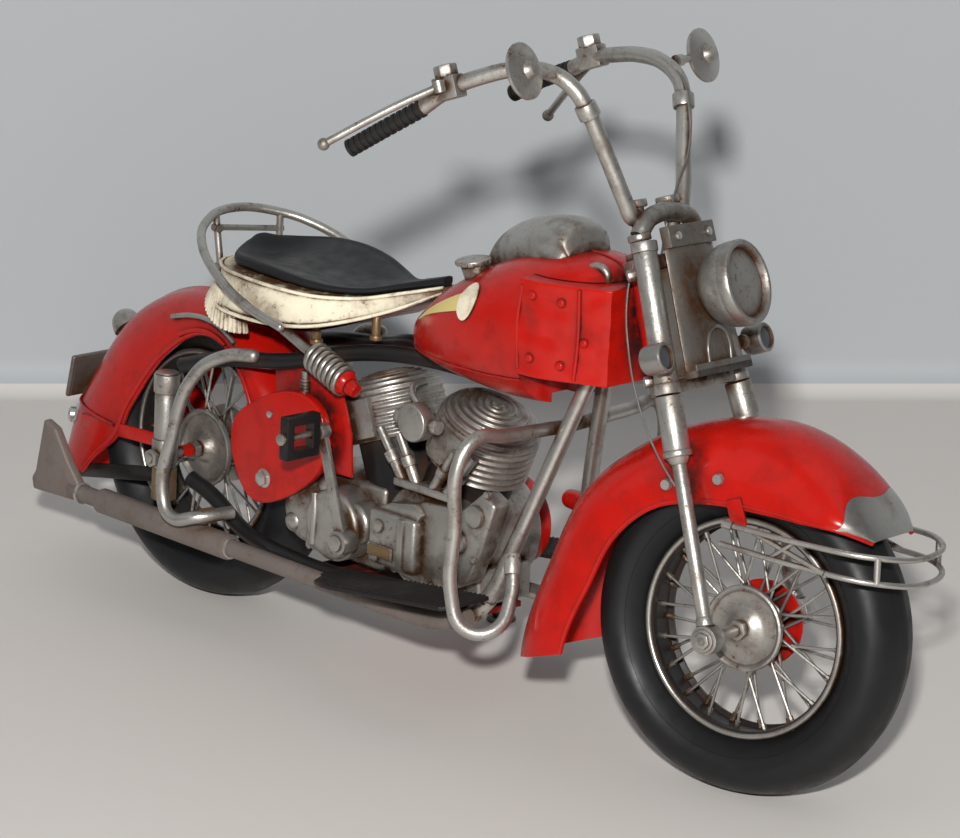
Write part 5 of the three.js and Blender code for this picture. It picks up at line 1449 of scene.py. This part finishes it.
class MOTORCYCLE_OT_rear(bpy.types.Operator):
    """Tail lamp, plate, plungers, axle, guard bars and the straps to the fender"""

    bl_idname = "motorcycle.rear"
    bl_label = "Rear end"

    def execute(self, context):
        self.lamp_and_plate()
        for side, word in SIDES:
            self.plunger(side, word)
            self.bar(side, word)
        axle = bmesh.new()
        rod(axle, (REAR_X, -31.4, AXLE_HIGH), (REAR_X, 31.4, AXLE_HIGH), 1.6)
        for start, end in ((9.9, 12.5), (28.7, 30.7)):
            for side in (-1, 1):
                rod(axle, (REAR_X, side * start, AXLE_HIGH), (REAR_X, side * end, AXLE_HIGH), 3.2, sides=6)
        soften(axle, 0.3)
        on_frame(axle, "rear_axle_bar", "silver", ("rear_axle",))
        nut = bmesh.new()
        rod(nut, (REAR_X, -12.5, AXLE_HIGH), (REAR_X, -17, AXLE_HIGH), 2.3, sides=6)
        on_frame(nut, "rear_axle_nut", "red")
        self.straps()
        return {"FINISHED"}

    def lamp_and_plate(self):
        foot = behind_fender(-58, 1.7)
        axis = V((-0.72, 0, 0.69))
        bm = bmesh.new()
        spin = axis.to_track_quat("Y", "Z").to_matrix().to_4x4()
        dome = [(0, 6.4)] + [(4.9 * math.sin(a),
            1.5 + 4.9 * math.cos(a)) for a in (i * math.pi / 20 for i in range(1, 11))]
        turned(bm, [*dome, (5.2, 1.0), (5.2, -0.4), (4.6, -0.9), (0, -0.9)],
               Matrix.Translation(foot) @ spin, 40)
        on_frame(bm, "tail_lamp_dome", "bright", ("tail_lamp",), 40)
        foot = behind_fender(-84, GAP)
        place = BIKE @ Matrix.Translation(foot + V((-4.5, 0, -2))) @ Matrix.Rotation(math.radians(12), 4,
            "Y")
        sheet = bmesh.new()
        box(sheet, (-0.6, -9.4, -1.4), (0.6, 9.4, 12.4))
        corners = [(-9.4, -1.4), (9.4, -1.4), (9.4, 12.4), (-9.4, 12.4)]
        for (y0, z0), (y1, z1) in zip(corners, corners[1:] + corners[:1]):
            rod(sheet, (-0.9, y0, z0), (-0.9, y1, z1), 0.9, sides=16)
        for y, z in corners:
            ball(sheet, (-0.9, y, z), 0.9)
        rod(sheet, (1, 0, 3), (4.4, 0, 3), 1.6)
        keep(sheet, "plate_sheet", place, "frame", "grey", ("number_plate",))

    def plunger(self, side, word):
        put = lambda height: V((REAR_X, side * 24, height))
        foot, top = AXLE_HIGH - 15, AXLE_HIGH + 29
        bm = bmesh.new()
        rod(bm, put(foot + 10), put(top - 5), 3.9)
        rod(bm, put(top - 7), put(top - 0.6), 4.4)
        rod(bm, put(top - 0.6), put(top), 3.9)
        rod(bm, put(AXLE_HIGH - 2), put(AXLE_HIGH + 6), 4.4)
        soften(bm, 0.35)
        on_frame(bm, f"plunger_{word}_tube", "silver", (f"plunger_{word}",))
        sleeve = bmesh.new()
        rod(sleeve, put(foot), put(foot + 11), 4.2)
        rod(sleeve, put(foot + 4.5), put(foot + 5.3), 4.35)
        soften(sleeve, 0.3)
        keep(sleeve, f"plunger_{word}_sleeve", BIKE, "frame",
             "brown" if side < 0 else "silver")

    def bar(self, side, word):
        path = [(47, 28.4, 45.4), (37, 31, 43.5), (27, 35, 36), (18, 37, 12), (14.5, 37, -8),
                (19, 37, -14.4), (28, 34, -13), (33, 22, -12)]
        path = [V((REAR_X + x, side * y, AXLE_HIGH + z)) for x, y, z in path]
        bm = bmesh.new()
        tube(bm, path, GUARD_TUBE)
        ball(bm, path[0], GUARD_TUBE)
        on_frame(bm, f"rear_bar_{word}_tube", "silver", (f"rear_bar_{word}",))
        clamp = bmesh.new()
        direction = (path[7] - path[6]).normalized()
        rod(clamp, path[6] + direction * 2, path[6] + direction * 6, 2.7)
        on_frame(clamp, f"rear_bar_{word}_bracket", "brown")

    def straps(self):
        for side, word in SIDES:
            strap = bmesh.new()
            front, back = V((REAR_X - 1, side * 21.2, 55)), V((REAR_X - 52, side * 17.6, 51))
            self.flat(strap, front, back, 2.3)
            on_frame(strap, f"fender_strap_{word}", "red")
            strap = bmesh.new()
            front, back = V((REAR_X - 1, side * 20.8, 44)), V((REAR_X - 56, side * 15.5, 32))
            self.flat(strap, front, back, 2.6)
            on_frame(strap, f"fender_brace_{word}", "black")
        foot = V((-181.5, -9, 49.5))
        lamp = bmesh.new()
        tube(lamp, [foot + V((9, 2, -2)), foot + V((4, 0, -2.2)), foot + V((1.4, -0.4, -0.8)), foot], 0.7)
        turned(lamp, [(0, 0), (2, 0.4), (3.5, 1.4), (3.9, 2.6), (3.4, 3.2), (0, 3.6)],
               Matrix.Translation(foot) @ V((-0.5, -0.75, 0.4)).to_track_quat("Y",
                   "Z").to_matrix().to_4x4(), 32)
        stud = behind_fender(-84, 0.6) + V((0, -11.5, -9))
        turned(lamp, [(0, -3), (2.6, -2.5), (2.7, 0.6), (2, 1.4), (0, 1.7)],
               Matrix.Translation(stud) @ V((-0.7, -0.7, 0)).to_track_quat("Y", "Z").to_matrix().to_4x4(),
               28)
        on_frame(lamp, "rear_small_lamps", "rivet", (), 40)

    def flat(self, bm, start, end, half):
        """A flat strap on edge between two points."""
        direction = (end - start).normalized()
        rise = V((0, 0, 1)) * half
        thickness = direction.cross(V((0, 0, 1))).normalized() * 1.1
        pull(bm, [start + rise, start - rise, end - rise, end + rise], thickness)
        bmesh.ops.recalc_face_normals(bm, faces=bm.faces)
        soften(bm, 0.25)


# ---- Engine ------------------------------------------------------------------------------------------
V_ANGLE = math.radians(21.5)


class MOTORCYCLE_OT_engine(bpy.types.Operator):
    """Crankcase, ribbed cylinders, pushrods, air cleaner, gearbox, covers and horn"""

    bl_idname = "motorcycle.engine"
    bl_label = "Engine"

    def execute(self, context):
        self.crankcase()
        for leaning, word in ((-1, "rear"), (1, "front")):
            self.cylinder(leaning, word, context.scene.motorcycle_sizes.fin_pitch)
        self.pushrods()
        self.air_cleaner()
        self.gearbox()
        self.side_cover()
        self.left_side()
        return {"FINISHED"}

    def crankcase(self):
        bm = bmesh.new()
        rod(bm, (CRANK.x, -ENGINE_HALF, CRANK.z), (CRANK.x, ENGINE_HALF, CRANK.z), 18, sides=56)
        plate(bm, [(-16, 48), (-12, 40), (12, 38), (24, 44), (30, 57), (35, 72), (29, 75), (20, 67),
                   (4, 66), (-12, 60)],
              -ENGINE_HALF - 6, -ENGINE_HALF + 2)
        box(bm, (-17, -ENGINE_HALF - 10, 42), (4, -ENGINE_HALF - 4, 60))
        box(bm, (-14, -12, 32), (18, 12, 44))
        soften(bm, 1.5, 3, 20)
        on_frame(bm, "crankcase_casting", "silver", ("crankcase",))
        details = bmesh.new()
        for x, z in ((20, 57), (27, 67)):
            rod(details, (x, -ENGINE_HALF - 7.6, z), (x, -ENGINE_HALF - 4, z), 3.6)
        rod(details, (-12, -ENGINE_HALF - 11, 55), (-12, -ENGINE_HALF - 8, 55), 2.1)
        rod(details, (-13, -ENGINE_HALF - 10.8, 44.4), (-13, -ENGINE_HALF - 8, 44.4), 1.5)
        box(details, (-16.4, -ENGINE_HALF - 10.6, 44.6), (-5, -ENGINE_HALF - 9, 49))
        box(details, (-3, -ENGINE_HALF - 10.9, 42.6), (-0.4, -ENGINE_HALF - 9, 59.6))
        plate(details, [(-15, 60), (-9, 63), (2, 65), (5, 62), (3, 59)], -ENGINE_HALF - 8, -ENGINE_HALF - 4)
        for x, z in ((-8, 39), (9, 37.6), (27, 50.5), (31.4, 73)):
            rod(details, (x, -ENGINE_HALF - 6.9, z + 2), (x, -ENGINE_HALF - 5, z + 2), 1.3, sides=6)
        soften(details, 0.5, 2)
        on_frame(details, "crankcase_details", "bright")
        relief = bmesh.new()
        plate(relief, [(-15.6, 45), (-6, 45), (-6, 48.6), (-15.6, 48.6)], -ENGINE_HALF - 11,
              -ENGINE_HALF - 10)
        soften(relief, 0.3)
        on_frame(relief, "crankcase_nameless_plate", "brown")

    def cylinder(self, leaning, word, pitch):
        """A ribbed barrel and domed head with a flat plate on its outer side, over a black lower barrel."""
        radius, base, top, room = 17.0, 28.5, 49.0, TUBE_TOP - 3.1
        spin = Matrix.Translation((CRANK.x - 13 + leaning * 7, 0,
            CRANK.z - 2)) @ Matrix.Rotation(leaning * V_ANGLE, 4, "Y")
        lie = spin @ Matrix.Rotation(math.pi / 2, 4, "X")
        profile, travelled, last = [(0, base)], 0.0, None
        for i in range(241):
            rise = i / 240
            if rise < 0.42:
                spot = (radius, base + (top - base) * 0.62 * rise / 0.42)
            else:
                turn = (rise - 0.42) / 0.58 * math.pi / 2
                spot = (radius * max(0.0, math.cos(turn)) ** 0.8,
                        base + (top - base) * (0.62 + 0.44 * math.sin(turn)))
            travelled += math.dist(spot, last) if last else 0
            last = spot
            groove = 0.55 * (0.5 - 0.5 * math.cos(math.tau * travelled / pitch)) ** 0.7
            profile.append((max(0.0, spot[0] - groove), spot[1] - groove * rise))
        bm = bmesh.new()
        turned(bm, profile, lie, 80)
        face = bmesh.new()
        box(face, (-6.4, -radius - 0.5, base + 1.2), (6.4, -radius + 7, top - 6.5))
        bmesh.ops.transform(face, matrix=spin, verts=face.verts)
        soften(face, 0.4)
        add(bm, face)
        front = -14 + (GAP / 2 if leaning > 0 else -GAP / 2)
        back = (front - 200, -60, 0) if leaning > 0 else (front, -60, 0)
        ahead = (front, 60, 200) if leaning > 0 else (front + 200, 60, 200)
        bm = carve(bm, (back, ahead), ((-200, -60, room), (200, 60, 200)))
        on_frame(bm, f"cylinder_{word}_ribs", "silver", (f"cylinder_{word}",), 40)
        foot = bmesh.new()
        turned(foot, [(0, 8), (radius - 3, 8), (radius - 3, base + 0.3), (0, base + 0.3)], lie, 48)
        foot = carve(foot, (back, ahead))
        on_frame(foot, f"cylinder_{word}_foot", "black")

    def pushrods(self):
        side = -(ENGINE_HALF + 2.6)
        bm = bmesh.new()
        box(bm, (-12, side - 2.2, 67.6), (13, side + 2.2, 70.4))
        soften(bm, 0.7)
        for foot, head in ((-9, -21), (-3, -12), (4, 13), (10, 22)):
            start, end = V((foot, side, 69)), V((head, side, 84))
            rod(bm, start, end, 1.35)
            rod(bm, start, start.lerp(end, 0.42), 1.8)
            rod(bm, start.lerp(end, 0.38), start.lerp(end, 0.44), 2.05, 2.3)
            rod(bm, start.lerp(end, 0.44), start.lerp(end, 0.56), 2.3)
        on_frame(bm, "pushrods", "silver", ("pushrod_tubes",))

    def air_cleaner(self):
        spot = V((-1, -ENGINE_HALF - 4, 91))
        bm = bmesh.new()
        rod(bm, spot, spot + V((0, -4.4, 0)), 6.2, sides=48)
        rod(bm, spot + V((0, -4.4, 0)), spot + V((0, -5, 0)), 6.2, 5.7, sides=48)
        for side in (-1, 1):
            rod(bm, spot + V((0, -1.5, 0)), spot + V((side * 9, -1.5, 0)), 1.8)
            rod(bm, spot + V((side * 7, -1.5, 0)), spot + V((side * 9.4, -1.5, 0)), 2.3)
        soften(bm, 0.3)
        on_frame(bm, "air_cleaner_drum", "silver", ("air_cleaner",))
        strap = bmesh.new()
        tube(strap, [(-6, -15, 86), (-8, -15.6, 92), (-14, -14, 97.4), (-15, -8, 99)], 1.1)
        on_frame(strap, "air_cleaner_strap", "silver")

    def gearbox(self):
        side = -ENGINE_HALF - 5
        bm = bmesh.new()
        box(bm, (-58, -15, 34), (-23, 15, 62))
        for x, z, radius, low, high in ((-52, 49, 10.5, side, 12), (-38, 48, 12, side - 2, 10),
            (-30, 50, 7, side, 10)):
            rod(bm, (x, low, z), (x, high, z), radius, sides=48)
        soften(bm, 1.8, 4, 30)
        for x, z, size in ((-55, 58, 4), (-47, 41, 4.2), (-43, 59.4, 3.6), (-58, 44, 3.6)):
            ball(bm, (x, side + 1.2, z), size, (1, 0.7, 1))
        on_frame(bm, "gearbox_casting", "silver", ("gearbox",), 50)
        details = bmesh.new()
        for x, z in ((-58.4, 53), (-49, 38.6), (-34.6, 38), (-43.6, 58.2)):
            rod(details, (x, side - 0.6, z), (x, side + 2, z), 1.5, sides=6)
        tube(details, [(-46, side - 1.4, 40), (-45.2, side - 1.8, 49), (-46, side - 1.2, 57)], 1.3)
        on_frame(details, "gearbox_bolts", "bright")

    def side_cover(self):
        outline = [(-82, 76), (-85, 65), (-80, 53), (-72, 48), (-60, 51.5), (-46, 61), (-40, 71),
                   (-42, 84), (-52, 89), (-66, 86)]
        smooth = []
        count = len(outline)
        for i in range(count):
            before, here, after, far = (V(outline[(i + k) % count]) for k in (-1, 0, 1, 2))
            for step in range(5):
                t = step / 5
                bend = 2 * before - 5 * here + 4 * after - far
                twist = 3 * here - before - 3 * after + far
                smooth.append(0.5 * ((2 * here) + (after - before) * t + bend * t * t + twist * t**3))
        bm = bmesh.new()
        plate(bm, [(p.x, p.y) for p in smooth], -27, -23.4)
        soften(bm, 0.8, 3, 50)
        on_frame(bm, "side_cover_plate", "red", ("side_cover",))
        bolt = bmesh.new()
        rod(bolt, (-68, -27.2, 57), (-68, -26, 57), 3.2)
        rod(bolt, (-68, -28.8, 57), (-68, -26, 57), 2.5, sides=6)
        rod(bolt, (-66, -27.8, 79), (-66, -26, 79), 1.3, sides=6)
        soften(bolt, 0.25)
        on_frame(bolt, "side_cover_bolts", "rivet")
        sheet = bmesh.new()
        plate(sheet, [(-72, 92), (-50, 97), (-41, 94), (-35, 78), (-34, 64), (-60, 63), (-70, 70)], -20,
              -19)
        soften(sheet, 0.25)
        on_frame(sheet, "middle_sheet", "red")
        cradle = bmesh.new()
        box(cradle, (-48, -11.6, 27.6), (14, 11.6, 29.4))
        on_frame(cradle, "cradle_sheet", "red")

    def left_side(self):
        low, high = ENGINE_HALF + GAP, ENGINE_HALF + 7.3
        bm = bmesh.new()
        rod(bm, (-44, low, 48), (-44, high, 48), 13, sides=48)
        rod(bm, (-2, low, 51), (-2, high, 51), 15, sides=48)
        plate(bm, [(-44, 35.4), (-2, 36.4), (-2, 65.6), (-44, 60.6)], low, high)
        soften(bm, 0.9, 3)
        on_frame(bm, "primary_cover", "red", ("primary_case",))
        bell = bmesh.new()
        turned(bell, [(0, 0), (2.6, 0.2), (3, 1), (3.4, 5), (4, 8), (5.4, 11), (7.4, 13.6), (8.6, 14.6),
                      (8.4, 15), (7.2, 14.6), (5.2, 12), (3.6, 9), (0, 8)],
               facing_ahead((17, ENGINE_HALF + 9, 62)), 48)
        on_frame(bell, "horn_bell", "red", ("horn",), 50)


# ---- Kick starter, bars, boards, exhaust and stand ---------------------------------------------------
class MOTORCYCLE_OT_fittings(bpy.types.Operator):
    """Kick starter with its pedal, crash bar, footboards, exhaust and side stand"""

    bl_idname = "motorcycle.fittings"
    bl_label = "Fittings"

    def execute(self, context):
        self.kick()
        self.crash_bar()
        for side, word in SIDES:
            self.footboard(side, word)
        self.exhaust()
        self.stand()
        return {"FINISHED"}

    def kick(self):
        shaft, top, reach = V((-27, -29.5, 46)), V((-36, -31.5, 81)), 17
        bm = bmesh.new()
        rod(bm, shaft + V((0, -2.6, 0)), shaft + V((0, 3.4, 0)), 4)
        rod(bm, shaft + V((0, -3.6, 0)), shaft + V((0, -2.4, 0)), 2.6)
        direction = (top - shaft).normalized()
        across = direction.cross(V((0, 1, 0))).normalized()
        wide, narrow, inner = across * 2.3, across * 1.6, V((0, 0.9, 0))
        outline = [shaft + wide, shaft - wide, top - narrow, top + narrow]
        pull(bm, [corner + inner for corner in outline], (0, -1.9, 0))
        rod(bm, top + V((0, 1.6, 0)), top + V((0, -2.4, 0)), 2.6)
        rod(bm, top, top + V((0, -reach, 0)), 1.1)
        rod(bm, top + V((0, -reach, 0)), top + V((0, -reach - 1.4, 0)), 1.9)
        bmesh.ops.recalc_face_normals(bm, faces=bm.faces)
        soften(bm, 0.35)
        keep(bm, "kick_lever", BIKE, "kick_arm", "silver", ("kick_arm",))
        low = V((top.x - 1.9, top.y - reach + GAP, top.z - 7))
        high = V((top.x + 1.9, top.y - 2.7, top.z + 7))
        pedal = bmesh.new()
        box(pedal, low, high)
        pedal = carve(pedal, ((low.x - 1, low.y + 3, low.z + 3), (high.x + 1, high.y - 3, high.z - 3)),
                      ((top.x - 1.4, low.y - 1, top.z - 1.4), (top.x + 1.4, high.y + 1, top.z + 1.4)))
        soften(pedal, 0.6, 3)
        keep(pedal, "kick_pedal_frame", BIKE, "kick_pedal", "black", ("kick_pedal",))

    def crash_bar(self):
        ahead, spread = 42, 45
        loop = [(ahead, 0, 96), (ahead, 30, 97.4), (ahead - 1, spread - 6, 98), (ahead - 2, spread, 92),
                (ahead - 3, spread, 70),
                (ahead - 3, spread, 48), (ahead + 1, spread - 2, 38.4), (ahead + 7, spread - 9, 38),
                (ahead + 6, spread - 17, 47),
                (ahead + 1.4, spread - 21.4, 58)]
        bm, joints = bmesh.new(), bmesh.new()
        for points in both_sides([V(p) for p in loop]):
            tube(bm, points, GUARD_TUBE)
            end, before = points[-1], points[-2]
            rod(joints, end.lerp(before, 0.45), end.lerp(before, -0.08), 2.5)
        ball(bm, (ahead, 0, 96), GUARD_TUBE)
        on_frame(bm, "crash_bar_loop", "silver", ("crash_bar",))
        soften(joints, 0.4)
        on_frame(joints, "crash_bar_brazing", "rusty")

    def footboard(self, side, word):
        outline = [(-30, -9), (-29, -2), (-24, 8), (-19, 10), (-14, 11), (36, 11), (38, 9), (38, -9)]
        bm = bmesh.new()
        fresh = bmesh.new()
        pull(fresh, [(x, side * y, 0) for x, y in outline], (0, 0, 1.4))
        add(bm, fresh)
        soften(bm, 0.3)
        for i in range(34):
            x = -27.6 + 64 * i / 33
            high = 10.4 if x > -15 else 10.4 - (-15 - x) * 0.72
            rod(bm, (x, side * -8.6, 1.4), (x, side * high, 1.4), 0.5, sides=8)
        tilt = Matrix.Translation((0, side * 36, 38.4)) @ Matrix.Rotation(math.radians(-7), 4, "Y")
        bmesh.ops.transform(bm, matrix=tilt, verts=bm.verts)
        keep(bm, f"footboard_{word}_mat", BIKE, "frame", "ribs", (f"footboard_{word}",))

    def exhaust(self):
        side, high = -29.0, 30.4
        back = REAR_X - 40
        bm = bmesh.new()
        tube(bm, [(30, side + 1, high + 5), (16, side, high + 1), (0, side, high), (-40, side, high),
                  (-80, side, high)], 3)
        rod(bm, (-79, side, high), (back - 2, side, high), 3)
        rod(bm, (REAR_X - 26, side, high), (REAR_X + 40, side, high), 4.3, sides=40)
        soften(bm, 0.5)
        outline = [(back + 2, high - 3), (back + 3, high + 3.4), (back - 3, high + 10),
                   (back - 10, high + 20), (back - 16, high + 22),
                   (back - 20, high + 3), (back - 22, high), (back - 21, high - 4)]
        fish = bmesh.new()
        plate(fish, outline, side - 1.8, side + 1.8)
        soften(fish, 0.9, 3)
        add(bm, fish)
        on_frame(bm, "exhaust_pipe", "dull", ("exhaust",))
        rings = bmesh.new()
        for x in (REAR_X + 39.4, back + 2.6):
            turned(rings, [(3.1, -0.5), (3.7, -0.4), (3.7, 0.5), (3.1, 0.6)],
                   facing_ahead((x + 1, side, high)), 32)
        on_frame(rings, "exhaust_rings", "rivet")

    def stand(self):
        pivot = STAND_PIVOT
        lean = math.radians(3.94)
        foot = V((-32, 50, 50 * math.tan(lean)))
        bm = bmesh.new()
        pin = V((0, math.cos(STAND_TILT), math.sin(STAND_TILT)))
        rod(bm, pivot - pin * 1.7, pivot + pin * 2, 3)
        rod(bm, pivot, foot + V((0, 0, 1.55)), 1.9)
        turn = Matrix.Translation(foot) @ Matrix.Rotation(lean, 4, "X") @ Matrix.Rotation(math.pi / 2, 4,
            "X")
        turned(bm, [(0, 0), (5, 0), (4.9, 0.5), (4.4, 1.6), (0, 1.6)], turn, 40)
        keep(bm, "stand_leg", BIKE, "side_stand", "silver", ("side_stand",))


# ---- Stage -------------------------------------------------------------------------------------------
CAMERA_AROUND, CAMERA_UP, CAMERA_AWAY = math.radians(45.62), math.radians(18.13), 1.3423
CAMERA_LENS, CAMERA_SENSOR, CAMERA_REACH = 160.2, 36, 20
WALL_BEHIND, COVE, BACKDROP_REACH, BACKDROP_HALF = 0.316, 0.014, 2.4, 3


class MOTORCYCLE_OT_stage(bpy.types.Operator):
    """Table and wall in one coved sheet, three lights and the camera"""

    bl_idname = "motorcycle.stage"
    bl_label = "Stage"

    def execute(self, context):
        target = BIKE.translation + V((9.1, 0, 91.7)) * MM
        away = V((math.sin(CAMERA_AROUND), -math.cos(CAMERA_AROUND), 0))
        place = target + (away * math.cos(CAMERA_UP) + V((0, 0, 1)) * math.sin(CAMERA_UP)) * CAMERA_AWAY
        camera = bpy.data.objects.new("Camera", bpy.data.cameras.new("Camera"))
        camera.data.lens, camera.data.sensor_width = CAMERA_LENS, CAMERA_SENSOR
        camera.data.clip_end = CAMERA_REACH
        self.aim(camera, place, target)
        context.scene.collection.objects.link(camera)
        context.scene.camera = camera
        self.backdrop(target, away)
        self.light("Flash", 20.0, 0.05, place + V((-0.02, -0.02, 0.15)), target, (1, 0.985, 0.96))
        self.light("Fill", 1.6, 1.2, target + V((-0.6, -1.1, 0.9)), target, (0.95, 0.97, 1))
        self.light("Sky", 2.0, 1.2, target + V((0.3, 0.2, 1.7)), target, (1, 0.99, 0.97))
        world = bpy.data.worlds.new("World")
        world.use_nodes = True
        world.node_tree.nodes["Background"].inputs["Color"].default_value = (0.75, 0.79, 0.82, 1)
        world.node_tree.nodes["Background"].inputs["Strength"].default_value = 0.15
        context.scene.world = world
        context.scene.view_settings.view_transform = "Standard"
        return {"FINISHED"}

    def aim(self, thing, place, target):
        turn = (target - place).to_track_quat("-Z", "Y").to_matrix().to_4x4()
        thing.matrix_world = Matrix.Translation(place) @ turn

    def light(self, name, power_w, size, place, target, tint):
        lamp = bpy.data.lights.new(name, "AREA")
        lamp.energy, lamp.size, lamp.color = power_w, size, tint
        made = bpy.data.objects.new(name, lamp)
        bpy.context.scene.collection.objects.link(made)
        self.aim(made, place, target)

    def backdrop(self, target, away):
        side = V((-away.y, away.x, 0))
        wall = V((target.x, target.y, 0)) - away * WALL_BEHIND
        bends = [i * math.pi / 24 for i in range(13)]
        cove = [(-COVE + COVE * math.sin(a), COVE - COVE * math.cos(a)) for a in bends]
        profile = [(-BACKDROP_REACH, 0), *cove, (0, BACKDROP_REACH)]
        for name, first, last, finish in (("Table", 0, 7, "table"), ("Wall", 6, len(profile) - 1, "wall")):
            bm = bmesh.new()
            rows = []
            for depth, rise in profile[first : last + 1]:
                middle = wall - away * depth
                rows.append([bm.verts.new(middle + side * across + V((0, 0, rise)))
                             for across in (-BACKDROP_HALF, BACKDROP_HALF)])
            for near, far in zip(rows, rows[1:]):
                bm.faces.new((near[0], near[1], far[1], far[0]))
            if name == "Table":
                edge = rows[1]
                behind = [bm.verts.new(v.co - away * BACKDROP_REACH) for v in edge]
                bm.faces.new((edge[0], edge[1], behind[1], behind[0]))
            bm.normal_update()
            for face in bm.faces:
                if face.normal.dot(away + V((0, 0, 1))) < 0:
                    face.normal_flip()
                face.smooth = True
            made = as_object(bm, name)
            made.data.materials.append(self.cloth(finish))

    def cloth(self, finish):
        """The sheet's tone, clear from behind so that it never hides the motorcycle."""
        tint = (0.70, 0.665, 0.635, 1) if finish == "table" else (0.46, 0.485, 0.505, 1)
        made = bpy.data.materials.new(finish)
        made.use_nodes = True
        tree = made.node_tree
        shader = tree.nodes["Principled BSDF"]
        noise_map = node(tree, "ShaderNodeTexNoise")
        noise_map.inputs["Scale"].default_value = 3.0
        place = node(tree, "ShaderNodeTexCoord")
        tree.links.new(place.outputs["Object"], noise_map.inputs["Vector"])
        mix = node(tree, "ShaderNodeMix", data_type="RGBA")
        mix.inputs[MIX_FIRST].default_value = tuple(c * 0.97 for c in tint[:3]) + (1,)
        mix.inputs[MIX_SECOND].default_value = tint
        tree.links.new(noise_map.outputs["Fac"], mix.inputs["Factor"])
        tree.links.new(mix.outputs[MIX_COLOUR], shader.inputs["Base Color"])
        shader.inputs["Roughness"].default_value = 0.55
        shader.inputs["Specular IOR Level"].default_value = 0.3
        facing = node(tree, "ShaderNodeNewGeometry")
        front = node(tree, "ShaderNodeMath", operation="SUBTRACT")
        front.inputs[0].default_value = 1
        tree.links.new(facing.outputs["Backfacing"], front.inputs[1])
        tree.links.new(front.outputs[0], shader.inputs["Alpha"])
        return made


STEPS = (
    MOTORCYCLE_OT_wheels, MOTORCYCLE_OT_fork, MOTORCYCLE_OT_lamps, MOTORCYCLE_OT_handlebar,
    MOTORCYCLE_OT_fenders,
    MOTORCYCLE_OT_frame, MOTORCYCLE_OT_tank, MOTORCYCLE_OT_seat, MOTORCYCLE_OT_rear, MOTORCYCLE_OT_engine,
    MOTORCYCLE_OT_fittings, MOTORCYCLE_OT_stage,
)


class MOTORCYCLE_PT_panel(bpy.types.Panel):
    """The motorcycle's settings and building steps"""

    bl_idname = "MOTORCYCLE_PT_panel"
    bl_label = "Motorcycle"
    bl_space_type = "VIEW_3D"
    bl_region_type = "UI"
    bl_category = "Motorcycle"

    def draw(self, context):
        for settings in (context.scene.motorcycle_sizes, context.scene.motorcycle_colours):
            box_area = self.layout.box()
            for name in settings.__annotations__:
                box_area.prop(settings, name)
        for step in STEPS:
            self.layout.operator(step.bl_idname)


CLASSES = (MotorcycleSizes, MotorcycleColours, *STEPS, MOTORCYCLE_PT_panel)


def register():
    for kind in CLASSES:
        bpy.utils.register_class(kind)
    bpy.types.Scene.motorcycle_sizes = PointerProperty(type=MotorcycleSizes)
    bpy.types.Scene.motorcycle_colours = PointerProperty(type=MotorcycleColours)


def unregister():
    del bpy.types.Scene.motorcycle_sizes
    del bpy.types.Scene.motorcycle_colours
    for kind in reversed(CLASSES):
        bpy.utils.unregister_class(kind)


def main():
    register()
    for step in STEPS:
        group, name = step.bl_idname.split(".")
        getattr(getattr(bpy.ops, group), name)()


if __name__ == "__main__":
    main()
